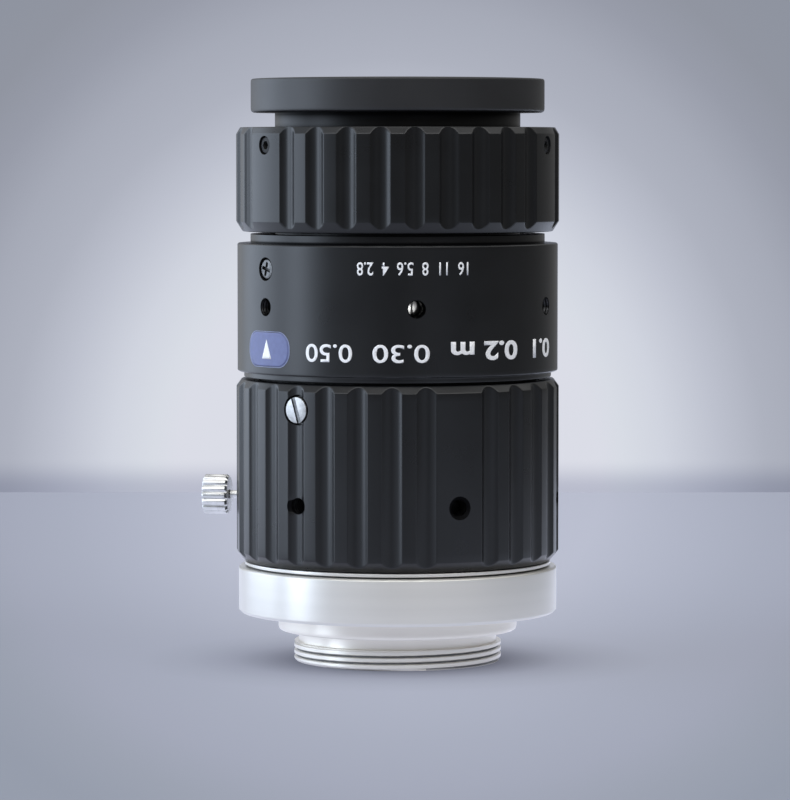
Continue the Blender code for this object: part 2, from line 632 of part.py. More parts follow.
def make_barrels(black, steel):
    """The middle barrel, the carrier in the focus ring, the lens barrels and their screws."""
    lip_bore = CARRIER_BORE
    name_outline = [
        (RING_BORE, Z_NAME_NECK), (LOW_NECK_RADIUS, Z_NAME_NECK), (LOW_NECK_RADIUS, Z_NAME_LOW),
        (NAME_RADIUS, Z_NAME_LOW), (NAME_RADIUS, Z_NAME_TOP - NAME_BEVEL),
        (NAME_RADIUS - NAME_BEVEL, Z_NAME_TOP), (HIGH_NECK_RADIUS, Z_NAME_TOP),
        (HIGH_NECK_RADIUS, Z_NAME_END), (lip_bore, Z_NAME_END), (lip_bore, Z_NAME_TOP),
        (RING_BORE, Z_NAME_TOP),
    ]
    name = turned("name_barrel", name_outline, OUTER_STEPS, black)

    block_bore = BARREL_RADIUS + SEAT
    carrier_outline = [
        (CARRIER_BORE, Z_CARRIER_LOW), (CARRIER_RADIUS, Z_CARRIER_LOW), (CARRIER_RADIUS, Z_CARRIER_TOP),
        (CARRIER_BORE, Z_CARRIER_TOP), (CARRIER_BORE, Z_LEDGE), (block_bore, Z_LEDGE),
        (block_bore, Z_BLOCK_LOW), (CARRIER_BORE, Z_BLOCK_LOW),
    ]
    carrier = turned("helicoid_barrel", carrier_outline, INNER_STEPS, black)
    slot_top = Z_KEY_LOW + KEY_LENGTH + KEY_SLOT_ROOM
    slot_low = Z_CARRIER_LOW - OVERCUT
    bm = bmesh.new()
    add_box(bm, radial(KEY_AZIMUTH), (KEY_WIDTH + 2 * RUN, slot_top - slot_low, TUBE_WALL + 2 * OVERCUT),
            (0, (slot_low + slot_top) / 2, CARRIER_RADIUS - TUBE_WALL / 2))
    cut(carrier, cutter("key_slot", bm))

    make_middle_screws(name, carrier, steel)

    spigot = IRIS_CELL_BORE - SEAT
    ledge = REAR_GLASS - SPACER_WALL
    cell_top = rear_stack()[-1] - SEAT
    cell_low = cell_top - REAR_CELL_DROP
    last_ledge = LAST_LENS_HEIGHT + LAST_LENS[0] + SEAT
    step_in = REAR_CELL_BORE + SEAT
    barrel_outline = [
        (REAR_CELL_BORE, REAR_CELL_END), (REAR_CELL_RADIUS, REAR_CELL_END),
        (REAR_CELL_RADIUS, cell_low), (BARREL_RADIUS, cell_low),
        (BARREL_RADIUS, Z_BARREL_FLANGE), (CARRIER_BORE - SEAT, Z_BARREL_FLANGE),
        (CARRIER_BORE - SEAT, Z_BARREL_FLANGE + BARREL_FLANGE),
        (spigot, Z_BARREL_FLANGE + BARREL_FLANGE), (spigot, Z_BARREL_TOP),
        (BARREL_BORE, Z_BARREL_TOP), (BARREL_BORE, cell_top), (ledge, cell_top),
        (ledge, cell_top - REAR_LEDGE), (step_in, cell_top - REAR_LEDGE - (ledge - step_in)),
        (step_in, last_ledge + LAST_LEDGE), (LAST_GLASS - SPACER_WALL, last_ledge + LAST_LEDGE),
        (LAST_GLASS - SPACER_WALL, last_ledge), (REAR_CELL_BORE, last_ledge),
    ]
    barrel = turned("lens_barrel", barrel_outline, INNER_STEPS, black)

    filter_floor = Z_RIM_TOP - FILTER_DEPTH
    foot_radius = CARRIER_BORE - SEAT
    front_ledge = FRONT_GLASS - SPACER_WALL
    iris_ledge = HOUSING_RADIUS - IRIS_LEDGE
    front_outline = [
        (IRIS_CELL_BORE, Z_FRONT_FOOT), (foot_radius, Z_FRONT_FOOT),
        (foot_radius, Z_FRONT_FOOT + FRONT_FOOT_HEIGHT), (FRONT_TUBE_RADIUS, Z_FRONT_FOOT + FRONT_FOOT_HEIGHT),
        (FRONT_TUBE_RADIUS, Z_RIM_LOW), (RIM_RADIUS - RIM_LOW_BEVEL, Z_RIM_LOW),
        (RIM_RADIUS, Z_RIM_LOW + RIM_LOW_BEVEL), (RIM_RADIUS, Z_RIM_TOP - RIM_BEVEL),
        (RIM_RADIUS - RIM_BEVEL, Z_RIM_TOP), (FILTER_RADIUS, Z_RIM_TOP), (FILTER_RADIUS, filter_floor),
        (FRONT_CELL_BORE, filter_floor), (FRONT_CELL_BORE, Z_FRONT_CELL),
        (front_ledge, Z_FRONT_CELL), (iris_ledge, Z_FRONT_LEDGE), (IRIS_CELL_BORE, Z_FRONT_LEDGE),
    ]
    front = turned("front_barrel", front_outline, OUTER_STEPS, black)
    return name, carrier, barrel, front


def make_middle_screws(name, carrier, steel):
    """The holes of the middle barrel and the screws in them."""
    outside = NAME_RADIUS + OVERCUT
    inside = RING_BORE - PIN_PLAY
    hole_height = Z_NAME_TOP - LOCK_HOLE_DROP
    frames = [radial(azimuth, hole_height) for azimuth in LOCK_HOLE_AZIMUTHS]
    cut(name, rods("lock_holes", frames, LOCK_HOLE_RADIUS, inside, outside))

    deep_frames = [radial(azimuth, hole_height) for azimuth in DEEP_HOLE_AZIMUTHS]
    deep = rods("deep_holes", deep_frames, DEEP_HOLE_RADIUS, BARREL_RADIUS, outside)
    cut(name, deep)
    cut(carrier, deep)
    set_radius = DEEP_HOLE_RADIUS - SEAT
    for number, frame in enumerate(deep_frames, start=1):
        screw("barrel_set_screw_%d" % number, frame,
              (set_radius, BARREL_RADIUS + SEAT, NAME_RADIUS - DEEP_SCREW_DEPTH),
              (set_radius, BARREL_RADIUS + SEAT), steel, slot=DEEP_SCREW_SLOT)

    recess_radius, recess_depth = NAME_SCREW_RECESS
    frames = [radial(azimuth, Z_NAME_TOP - NAME_SCREW_DROP) for azimuth in NAME_SCREW_AZIMUTHS]
    floor = NAME_RADIUS - recess_depth
    cut(name, rods("name_screw_sinks", frames, recess_radius, floor, outside, SINK_STEPS))
    holes = rods("name_screw_holes", frames, NAME_SCREW_SHANK + SEAT, CARRIER_BORE - OVERCUT, outside)
    cut(name, holes)
    cut(carrier, holes)
    for number, frame in enumerate(frames, start=1):
        screw("name_screw_%d" % number, frame,
              (recess_radius - PIN_PLAY, floor + PIN_PLAY, NAME_RADIUS - PIN_PLAY),
              (NAME_SCREW_SHANK, CARRIER_BORE + PIN_PLAY), steel, slot=NAME_SCREW_CROSS, cross=True)


def rear_stack():
    """Low edge of each rear lens from the top one down, each on its spacer, and the ledge."""
    heights = []
    top = Z_BARREL_TOP - BARREL_SPIGOT - RETAINING_HEIGHT - MIDDLE_RING_DROP
    for lens, gap in zip(REAR_LENSES, (*REAR_SPACERS, 0.0)):
        low = top - lens[0]
        heights.append(low)
        top = low - gap - 2 * SEAT
    return heights


def lens(name, radius, low, sizes, glass, steps, rings=2):
    """A lens with two spherical faces inside flat seats; a negative bulge is hollow."""
    edge, low_bulge, top_bulge = sizes
    clear = radius - LENS_SEAT
    curve = [index / rings for index in range(rings)]
    outline = [(clear * part, low - cap(clear, low_bulge, part)) for part in curve]
    outline += [(clear, low), (radius, low), (radius, low + edge), (clear, low + edge)]
    outline += [(clear * part, low + edge + cap(clear, top_bulge, part)) for part in reversed(curve)]
    return turned(name, outline, steps, glass, closed=False)


def cap(clear, bulge, part):
    """Height of a spherical cap over its rim, at a share of its radius."""
    if bulge == 0:
        return 0.0
    sphere = (clear ** 2 + bulge ** 2) / (2 * abs(bulge))
    height = math.sqrt(sphere ** 2 - (clear * part) ** 2) - (sphere - abs(bulge))
    return math.copysign(height, bulge)


def retaining_ring(name, radius, low, side, surface):
    """A threaded ring with two spanner slots in the face on the given side, +1 up or -1 down."""
    wall = LENS_SEAT - PIN_PLAY
    made = ring(name, radius - wall, radius, low, low + RETAINING_HEIGHT, INNER_STEPS, surface)
    width, depth = SPANNER_SLOT
    face = low + RETAINING_HEIGHT * (1 + side) / 2
    bm = bmesh.new()
    add_box(bm, Matrix.Identity(4), (3 * radius, width, 2 * depth), (0, 0, face))
    cut(made, cutter(name + "_slots", bm))


def make_glass(glass, black):
    """The front and rear groups, with their spacers and retaining rings."""
    spacer_front = FRONT_GLASS - SPACER_WALL
    low = Z_FRONT_CELL + SEAT
    lens("front_lens_2", FRONT_GLASS, low, FRONT_LENSES[1], glass, GLASS_STEPS)
    low += FRONT_LENSES[1][0] + SEAT
    ring("front_spacer", spacer_front, FRONT_GLASS, low, low + FRONT_SPACER, INNER_STEPS, black)
    low += FRONT_SPACER + SEAT
    lens("front_lens_1", FRONT_GLASS, low, FRONT_LENSES[0], glass, INNER_STEPS, rings=3)
    low += FRONT_LENSES[0][0] + SEAT
    retaining_ring("front_retaining_ring", FRONT_GLASS, low, 1, black)

    heights = rear_stack()
    for number, (height, sizes) in enumerate(zip(heights, REAR_LENSES), start=1):
        lens("rear_lens_%d" % number, REAR_GLASS, height, sizes, glass, GLASS_STEPS)
    for number, (height, length) in enumerate(zip(heights, REAR_SPACERS), start=1):
        high = height - SEAT
        ring("rear_spacer_%d" % number, REAR_GLASS - SPACER_WALL, REAR_GLASS, high - length, high,
             GLASS_STEPS, black)
    retaining_ring("middle_retaining_ring", REAR_GLASS, heights[0] + REAR_LENSES[0][0] + SEAT, 1, black)

    lens("rear_lens_5", LAST_GLASS, LAST_LENS_HEIGHT, LAST_LENS, glass, GLASS_STEPS)
    retaining_ring("rear_retaining_ring", LAST_GLASS, LAST_LENS_HEIGHT - SEAT - RETAINING_HEIGHT, -1, black)


def stop_turn():
    """Angle in degrees that a blade turns, from the open to the smallest stop."""
    shift = STOP_RADIUS - SMALLEST_STOP
    return 2 * math.degrees(math.asin(shift / (2 * PIVOT_RADIUS)))


def lever_point(turn):
    """Drive pin of a blade whose pivot is on +X, after the blade has turned by an angle."""
    angle = math.radians(turn)
    x, y = polar(PIVOT_RADIUS, LEVER_ANGLE)
    x -= PIVOT_RADIUS
    return (PIVOT_RADIUS + x * math.cos(angle) - y * math.sin(angle),
            x * math.sin(angle) + y * math.cos(angle))


def cam_slot():
    """Outline of a cam slot: the drive pin's path seen from the turning ring, with round ends."""
    half = PIN_RADIUS + PIN_PLAY
    steps = 5
    path = []
    for step in range(steps + 1):
        share = step / steps
        x, y = lever_point(stop_turn() * share)
        angle = math.radians(-IRIS_TURN * share)
        path.append(Vector((x * math.cos(angle) - y * math.sin(angle),
                            x * math.sin(angle) + y * math.cos(angle))))
    sides = ([], [])
    for index, point in enumerate(path):
        along = path[min(index + 1, steps)] - path[max(index - 1, 0)]
        across = Vector((-along.y, along.x)).normalized() * half
        sides[0].append(point + across)
        sides[1].append(point - across)
    end = path[-1] - path[-2]
    start = path[1] - path[0]
    end_angle = math.degrees(math.atan2(end.y, end.x))
    start_angle = math.degrees(math.atan2(start.y, start.x))
    end_cap = arc(half, end_angle + 90, end_angle - 90, 3, path[-1])[1:-1]
    start_cap = arc(half, start_angle - 90, start_angle - 270, 3, path[0])[1:-1]
    return [tuple(point) for point in sides[0]] + end_cap + \
        [tuple(point) for point in reversed(sides[1])] + start_cap


def make_iris(black, steel, dark):
    """Housing, blades, cam ring, drive pin and the rings that turn them."""
    gap = 360 / BLADES
    housing_outline = [
        (HOUSING_OPENING, Z_HOUSING), (HOUSING_RADIUS, Z_HOUSING), (HOUSING_RADIUS, Z_CAM_TOP),
        (HOUSING_BORE, Z_CAM_TOP), (HOUSING_BORE, Z_HOUSING + HOUSING_FLOOR),
        (HOUSING_OPENING, Z_HOUSING + HOUSING_FLOOR),
    ]
    housing = turned("iris_housing", housing_outline, INNER_STEPS, black)
    frames = [Matrix.Rotation(math.radians(gap * index), 4, "Z") @ Matrix.Translation((PIVOT_RADIUS, 0, 0))
              for index in range(BLADES)]
    cut(housing, rods("pivot_holes", frames, PIN_RADIUS + SEAT, Z_HOUSING - OVERCUT,
                      Z_HOUSING + HOUSING_FLOOR + OVERCUT, 8))
    ring("iris_retainer", HOUSING_RADIUS - RETAINER_WIDTH, HOUSING_RADIUS, Z_IRIS_RETAINER,
         Z_IRIS_RETAINER + RETAINER_PLATE, INNER_STEPS, black)

    cam_outline = [
        (CAM_INNER_RADIUS, Z_CAM), (CAM_RADIUS, Z_CAM), (CAM_RADIUS, Z_CAM_TOP),
        (CAM_RIM_BORE, Z_CAM_TOP), (CAM_RIM_BORE, Z_CAM + CAM_PLATE),
        (CAM_INNER_RADIUS, Z_CAM + CAM_PLATE),
    ]
    cam = turned("iris_cam_ring", cam_outline, INNER_STEPS, steel)
    bm = bmesh.new()
    outline = cam_slot()
    for index in range(BLADES):
        turn = Matrix.Rotation(math.radians(gap * index), 2)
        add_plate(bm, [tuple(turn @ Vector(point)) for point in outline],
                  Z_CAM - OVERCUT, Z_CAM + CAM_PLATE + OVERCUT)
    cut(cam, cutter("cam_slots", bm))

    pin_frame = radial(DRIVE_PIN_AZIMUTH, Z_DRIVE_PIN)
    drive = ring("iris_drive_ring", DRIVE_RING_BORE, DRIVE_RING_RADIUS, Z_IRIS_LOW,
                 Z_DRIVE_RING_TOP, INNER_STEPS, black)
    hole = rods("drive_pin_hole", [pin_frame], DRIVE_PIN_RADIUS + SEAT, CAM_RIM_BORE - OVERCUT,
                DRIVE_RING_RADIUS + PIN_PLAY)
    cut(cam, hole)
    cut(drive, hole)
    bm = bmesh.new()
    add_rod(bm, Matrix.Identity(4), DRIVE_PIN_RADIUS, CAM_RIM_BORE + PIN_PLAY,
            DRIVE_RING_RADIUS - PIN_PLAY)
    pin = finish("drive_pin", bm, steel)
    pin.matrix_world = pin_frame

    room = math.degrees((DRIVE_PIN_RADIUS + SEAT) / HOUSING_BORE)
    start = DRIVE_PIN_AZIMUTH - 90 - room
    half = DRIVE_PIN_RADIUS + SEAT
    arc_slot = sector_cutter("drive_slot", HOUSING_BORE - OVERCUT, FRONT_TUBE_RADIUS + OVERCUT,
                             Z_DRIVE_PIN - half, Z_DRIVE_PIN + half, start, IRIS_TURN + 2 * room)
    cut(housing, arc_slot)

    axis = pivot("iris_turn", Matrix.Translation((0, 0, Z_IRIS_LOW)))
    grip = make_iris_ring(black, dark, axis)
    for piece in (grip, cam, drive, pin):
        hang(piece, axis)
    blades = [make_blade(index, frame, dark) for index, frame in enumerate(frames)]
    return [housing, bpy.data.objects["iris_retainer"], axis] + blades, arc_slot


def make_iris_ring(black, dark, axis):
    """The fluted iris ring and its three set screws."""
    lip = FRONT_TUBE_RADIUS + RUN
    lip_low = Z_IRIS_TOP - IRIS_LIP_HEIGHT
    outer = ring_outline(GRIP_RADIUS, Z_IRIS_LOW, Z_IRIS_TOP, IRIS_LOW_CHAMFER, IRIS_TOP_CHAMFER)
    outline = outer + [(lip, Z_IRIS_TOP), (lip, lip_low), (RING_BORE, lip_low), (RING_BORE, Z_IRIS_LOW)]
    grip = grip_ring("iris_ring", outline, Z_IRIS_LOW, Z_IRIS_TOP, IRIS_LAND, black)
    height = Z_IRIS_TOP - GRUB_DROP
    frames = [radial(IRIS_LAND + 360 / LANDS * step, height) for step in range(LANDS)]
    cut(grip, rods("grub_holes", frames, GRUB_HOLE_RADIUS, RING_BORE - PIN_PLAY, GRIP_RADIUS + OVERCUT))
    socket_radius, socket_depth = GRUB_SOCKET
    top = GRIP_RADIUS - GRUB_RECESS
    for number, frame in enumerate(frames, start=1):
        grub = screw("grub_screw_%d" % number, frame,
                     (GRUB_RADIUS, RING_BORE, top), (GRUB_RADIUS, RING_BORE), dark)
        socket = rods("grub_socket_%d" % number, [frame], socket_radius, top - socket_depth,
                      GRIP_RADIUS, PIN_STEPS)
        cut(grub, socket)
        hang(grub, axis)
    return grip


def make_blade(index, frame, dark):
    """One blade: a crescent with a tab, a pivot pin below it and a drive pin above it.

    The object's origin is the pivot, and the crescent's arcs are about the optical axis.
    """
    low = Z_BLADES + BLADE_PITCH * index
    high = low + BLADE_THICKNESS
    tab = PIVOT_RADIUS + TAB_RADIUS
    points = arc(STOP_RADIUS, -BLADE_HEEL, BLADE_REACH, 10)
    points += arc(BLADE_OUTER, BLADE_REACH, TAB_ANGLE, 8)
    points += arc(tab, TAB_ANGLE, -BLADE_HEEL, 2)
    bm = bmesh.new()
    add_plate(bm, [(x - PIVOT_RADIUS, y) for x, y in points], low, high)
    name = "iris_blade_%d" % (index + 1)
    blade = finish(name, bm, dark, smooth=False)
    x, y = polar(PIVOT_RADIUS, LEVER_ANGLE)
    lever = Matrix.Translation((x - PIVOT_RADIUS, y, 0))
    sink = BLADE_THICKNESS / 2
    pin_low = Z_HOUSING + PIN_PLAY
    pin_high = Z_CAM + CAM_PLATE - PIN_PLAY
    blade.matrix_world = frame
    for label, place, start, end in (("pivot", Matrix.Identity(4), pin_low, low + sink),
                                     ("lever", lever, high - sink, pin_high)):
        pin = rods("%s_%s" % (name, label), [frame @ place], PIN_RADIUS, start, end, PIN_STEPS)
        cut(blade, pin, "UNION")
    return blade


def main():
    for old in list(bpy.data.objects):
        bpy.data.objects.remove(old, do_unlink=True)

    black = material("black_anodised", (0.03, 0.031, 0.034), 0.38, 0.6)
    silver = material("silver_anodised", (0.78, 0.79, 0.8), 0.32, 0.9)
    steel = material("screw_steel", (0.6, 0.6, 0.6), 0.3, 1.0)
    dark = material("blackened_steel", (0.02, 0.02, 0.022), 0.5, 0.5)
    glass = material("coated_glass", (0.85, 0.9, 0.95), 0.02, 0.0, transmission=1.0)

    make_mount(silver, black, steel)
    make_focus_ring(black, silver)
    front_pieces = list(make_barrels(black, steel))
    make_glass(glass, black)
    iris_pieces, arc_slot = make_iris(black, steel, dark)
    cut(front_pieces[-1], arc_slot)

    slide = pivot("focus_slide", Matrix.Identity(4))
    names = ("barrel_set_screw", "name_screw", "front_lens", "front_spacer", "front_retaining",
             "rear_lens", "rear_spacer", "middle_retaining", "rear_retaining")
    riders = [piece for piece in bpy.data.objects if piece.name.startswith(names) and not piece.hide_render]
    for piece in front_pieces + iris_pieces + riders:
        hang(piece, slide)


main()
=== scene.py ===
# %% [markdown]
# # A C-mount lens, dressed for its picture
# The solids of the lens come from the frame: every ring, screw and lens is there at its real size.
# This script gives them their looks. The visible turned pieces are made again with rounded edges,
# a real thread and real knurling, and every surface gets a procedural finish.
# Lengths are in metres, +Z is the optical axis and points out of the front.

# %% Load the frame
import json
import math

import bmesh
import bpy
import numpy as np
from mathutils import Matrix, Vector


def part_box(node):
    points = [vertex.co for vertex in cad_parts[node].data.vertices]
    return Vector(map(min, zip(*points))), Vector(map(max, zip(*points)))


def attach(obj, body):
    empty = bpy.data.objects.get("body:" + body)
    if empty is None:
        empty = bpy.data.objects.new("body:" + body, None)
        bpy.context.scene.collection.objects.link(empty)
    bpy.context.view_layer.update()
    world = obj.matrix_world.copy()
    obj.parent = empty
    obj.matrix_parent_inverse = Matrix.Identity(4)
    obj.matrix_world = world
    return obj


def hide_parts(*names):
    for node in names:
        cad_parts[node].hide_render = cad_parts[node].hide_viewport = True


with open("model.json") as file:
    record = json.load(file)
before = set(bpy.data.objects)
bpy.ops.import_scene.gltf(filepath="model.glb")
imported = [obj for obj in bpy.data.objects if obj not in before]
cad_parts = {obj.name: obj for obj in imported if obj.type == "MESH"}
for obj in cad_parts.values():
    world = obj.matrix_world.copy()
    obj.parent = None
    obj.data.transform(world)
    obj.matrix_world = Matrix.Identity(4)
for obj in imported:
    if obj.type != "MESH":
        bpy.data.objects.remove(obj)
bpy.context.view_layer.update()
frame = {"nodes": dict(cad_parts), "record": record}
nodes = frame["nodes"]
MM = 0.001
TOLERANCE = 0.01 * MM
CLEARANCE = 0.3 * MM

# %% [markdown]
# A few small tools are used all through. They put an object into the scene, read a mesh, hide the
# solid that a new piece replaces, and give a finish to some of its faces.

# %% Small tools


def add_object(name, data):
    """A new object in the scene."""
    made = bpy.data.objects.new(name, data)
    bpy.context.scene.collection.objects.link(made)
    return made


def corners_of(mesh):
    """The points of a mesh as a (count, 3) array."""
    flat = np.empty(len(mesh.vertices) * 3)
    mesh.vertices.foreach_get("co", flat)
    return flat.reshape(-1, 3)


def applied_mesh(piece):
    """The mesh that an object shows once its modifiers or its text are worked out."""
    bpy.context.view_layer.update()
    return bpy.data.meshes.new_from_object(piece.evaluated_get(bpy.context.evaluated_depsgraph_get()))


def dress(piece, finish, node, slot, body):
    """Give a piece its finish, hide the solid it stands for and attach it to the body it moves with.

    slot is not used.
    """
    piece.data.materials.append(finish)
    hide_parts(node)
    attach(piece, body)
    print(piece.name, "faces:", len(piece.data.polygons))


def finish_faces(piece, finish, chosen):
    """Give a finish to the faces that pass a test."""
    piece.data.materials.append(finish)
    index = len(piece.data.materials) - 1
    for face in piece.data.polygons:
        if chosen(face):
            face.material_index = index


def finish_zone(piece, finish, low, high, inner=0.0, outer=math.inf, place=Matrix()):
    """Give a finish to the faces between two heights and two radii, measured in a frame."""
    inverse = place.inverted()

    def inside(face):
        spot = inverse @ face.center
        return low < spot.z < high and inner <= math.hypot(spot.x, spot.y) < outer

    finish_faces(piece, finish, inside)


# %% [markdown]
# The pieces are placed by the solids themselves. A turned ring's box gives its two heights and its
# radius, so only the small sizes that a box can't tell are written down here.

# %% Heights and radii read from the solids


def heights(node):
    """Lowest and highest point of a node."""
    low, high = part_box(node)
    return low.z, high.z


def outer_radius(node):
    """Largest distance of a node's corners from the axis."""
    corners = corners_of(nodes[node].data)
    return float(np.max(np.hypot(corners[:, 0], corners[:, 1])))


Z_REAR, Z_BAND_TOP = heights("mount_base")
Z_FOCUS_LOW, Z_FOCUS_TOP = heights("focus_ring")
Z_NAME_NECK, Z_NAME_END = heights("name_barrel")
Z_IRIS_LOW, Z_IRIS_TOP = heights("iris_ring")
Z_FRONT_FOOT, Z_RIM_TOP = heights("front_barrel")
GRIP_RADIUS = outer_radius("focus_ring")
NAME_RADIUS = outer_radius("name_barrel")
RIM_RADIUS = outer_radius("front_barrel")
FLANGE_RADIUS = outer_radius("mount_base")
print("overall height in mm:", round((Z_RIM_TOP - Z_REAR) / MM, 2))

# %% [markdown]
# The camera comes first. It stands half a metre off, just above the middle of the lens, and looks
# slightly down, so the rings below eye level show their upper faces and the front rim shows its
# underside. A long focal length keeps the sides of the barrel almost parallel.

# %% Camera
CAMERA_DISTANCE = 0.527
CAMERA_HEIGHT = 0.05855
CAMERA_SHIFT_X = -0.00032
CAMERA_TILT = 3.309
FOCAL_LENGTH = 193.6
SENSOR_WIDTH = 36.0

camera_data = bpy.data.cameras.new("camera")
camera_data.lens = FOCAL_LENGTH
camera_data.sensor_fit = "AUTO"
camera_data.sensor_width = SENSOR_WIDTH
camera_data.clip_start = 0.01
camera_data.clip_end = 10.0
camera = add_object("camera", camera_data)
camera.location = (CAMERA_SHIFT_X, -CAMERA_DISTANCE, CAMERA_HEIGHT)
camera.rotation_euler = (math.radians(90.0 - CAMERA_TILT), 0.0, 0.0)
bpy.context.scene.camera = camera
print("camera at", tuple(round(value, 3) for value in camera.location))

# %% [markdown]
# A mesh made from arrays is quick and exact. A grid of points becomes quads, and each direction of
# the grid can close on itself. Turned pieces use a closed outline and a full turn, so both close.

# %% Grid of points to mesh


def grid_object(name, points, close_rows=True, close_columns=True, caps=False):
    """An object whose quads join a (rows, columns, 3) array of points.

    A quad at row i and column j has the corners (i, j), (i, j+1), (i+1, j+1) and (i+1, j),
    and an index past the end starts again at zero where that direction closes.
    With caps, the first and the last row are each filled with one face.
    """
    rows, columns = points.shape[:2]
    i = np.arange(rows if close_rows else rows - 1)
    j = np.arange(columns if close_columns else columns - 1)
    i, j = np.meshgrid(i, j, indexing="ij")
    after_i = (i + 1) % rows
    after_j = (j + 1) % columns
    quads = np.stack([i * columns + j, i * columns + after_j,
                      after_i * columns + after_j, after_i * columns + j], axis=-1).reshape(-1, 4)
    faces = quads.tolist()
    if caps:
        faces.append(list(range(columns))[::-1])
        faces.append(list(range((rows - 1) * columns, rows * columns)))
    mesh = bpy.data.meshes.new(name)
    mesh.from_pydata(points.reshape(-1, 3).tolist(), [], faces)
    mesh.update()
    return add_object(name, mesh)


def shade(made, angle=35.0):
    """Shade smooth, with edges sharper than an angle kept crisp."""
    made.data.shade_smooth()
    made.data.set_sharp_from_angle(angle=math.radians(angle))
    return made


# %% [markdown]
# No edge of a real machined part is perfectly sharp. A cutter leaves a break of about a tenth of a
# millimetre, and that thin break is what catches the light. So each corner of an outline is rounded
# before it is turned: the corner point is the control point of a short curve between its two sides.

# %% Rounded outlines
EDGE_BREAK = 0.08 * MM
CORNER_STEPS = 4
CORNER_SHARE = 0.4


def bend(start, corner, end, t):
    """Points of a quadratic curve: (1-t)^2 * start + 2t(1-t) * corner + t^2 * end."""
    return (1 - t) ** 2 * start + 2 * t * (1 - t) * corner + t ** 2 * end


def rounded(outline, radius=EDGE_BREAK, steps=CORNER_STEPS):
    """A closed outline with each corner replaced by a short quadratic curve.

    The curve starts and ends at the radius from the corner, or at a share of the shorter side.
    """
    points = np.array(outline, float)
    before = np.roll(points, 1, axis=0) - points
    after = np.roll(points, -1, axis=0) - points
    before_length = np.linalg.norm(before, axis=1, keepdims=True)
    after_length = np.linalg.norm(after, axis=1, keepdims=True)
    reach = np.minimum(radius, CORNER_SHARE * np.minimum(before_length, after_length))
    start = points + before / before_length * reach
    end = points + after / after_length * reach
    t = np.linspace(0.0, 1.0, steps + 1)[None, :, None]
    curve = bend(start[:, None], points[:, None], end[:, None], t).reshape(-1, 2)
    area = np.sum(curve[:, 0] * np.roll(curve[:, 1], -1) - np.roll(curve[:, 0], -1) * curve[:, 1])
    return curve if area > 0 else curve[::-1]


def soft_corner(start, corner, end, steps=5):
    """Points of a large rounding, from start to end, that leans on the corner."""
    start, corner, end = (np.array(point, float) for point in (start, corner, end))
    return bend(start, corner, end, np.linspace(0.0, 1.0, steps + 1)[:, None]).tolist()


def with_rows(outline, spacing_of):
    """An outline with points added along its sides; spacing_of gives the largest rise between two."""
    filled = []
    for here, there in zip(outline, np.roll(outline, -1, axis=0)):
        count = max(1, math.ceil(abs(there[1] - here[1]) / spacing_of(here, there)))
        filled.append(here + (there - here) * np.arange(count)[:, None] / count)
    return np.concatenate(filled)


def full_turn(columns):
    """A row of angles round the axis in equal steps."""
    return np.linspace(0, 2 * math.pi, columns, endpoint=False)[None, :]


def turn_points(radius, height, azimuth):
    """Points at a radius, height and azimuth; azimuth 0 is -Y and a quarter turn is +X."""
    x = radius * np.sin(azimuth)
    y = -radius * np.cos(azimuth)
    return np.stack(np.broadcast_arrays(x, y, height), axis=-1)


def turned(name, outline, columns, radius=EDGE_BREAK):
    """A piece turned from a closed outline: each outline point goes round the axis once."""
    curve = rounded(outline, radius)
    return shade(grid_object(name, turn_points(curve[:, 0:1], curve[:, 1:2], full_turn(columns))))


# %% [markdown]
# Holes and screw slots are drilled with Boolean modifiers. Each cutter is a plain mesh that is
# removed again once its cut has been applied, so only the drilled piece stays in the scene.

# %% Drilling
CUTTER_COLUMNS = 32
SCREW_COLUMNS = 48


def radial_frame(azimuth, height):
    """Frame on the axis at a height, with Z outwards at an azimuth in degrees, X right and Y up."""
    angle = math.radians(azimuth)
    out = Vector((math.sin(angle), -math.cos(angle), 0.0))
    right = Vector((math.cos(angle), math.sin(angle), 0.0))
    turn = Matrix((right, Vector((0, 0, 1)), out)).transposed().to_4x4()
    return Matrix.Translation((0, 0, height)) @ turn


def frames_round(first, count, height):
    """Radial frames in equal steps round the axis, from a first azimuth on."""
    return [radial_frame(first + 360 / count * step, height) for step in range(count)]


def spun_object(name, place, radius, distance, columns):
    """A closed piece: the radius at each distance along a frame's Z goes once round that Z."""
    angle = full_turn(columns)
    points = np.broadcast_arrays(radius * np.cos(angle), radius * np.sin(angle), distance)
    made = grid_object(name, np.stack(points, axis=-1), close_rows=False, caps=True)
    made.data.transform(place)
    return made


def cutter_mesh(bm):
    """The mesh of a finished BMesh."""
    mesh = bpy.data.meshes.new("cutter")
    bm.to_mesh(mesh)
    bm.free()
    return mesh


def lathe_cutter(placements, profile, columns=CUTTER_COLUMNS):
    """One mesh of turned cutters: a profile of (radius, distance) along each frame's Z."""
    radius, distance = np.hsplit(np.array(profile, float), 2)
    bm = bmesh.new()
    for place in placements:
        part = spun_object("cutter_part", place, radius, distance, columns)
        bm.from_mesh(part.data)
        bpy.data.objects.remove(part)
    return cutter_mesh(bm)


def box_cutter(placement, size, height):
    """A mesh of one box, centred on a frame's Z at a height."""
    bm = bmesh.new()
    bmesh.ops.create_cube(bm, size=1.0)
    bm.transform(placement @ Matrix.Translation((0, 0, height)) @ Matrix.Diagonal((*size, 1.0)))
    return cutter_mesh(bm)


def drill(piece, *cutters):
    """Take each cutter mesh away from a piece and keep the result as its mesh."""
    tools = [add_object("cutter", mesh) for mesh in cutters]
    for tool in tools:
        step = piece.modifiers.new("drill", "BOOLEAN")
        step.operation = "DIFFERENCE"
        step.solver = "EXACT"
        step.object = tool
    mesh = applied_mesh(piece)
    piece.modifiers.clear()
    piece.data = mesh
    for tool in tools:
        bpy.data.objects.remove(tool)
    shade(piece)


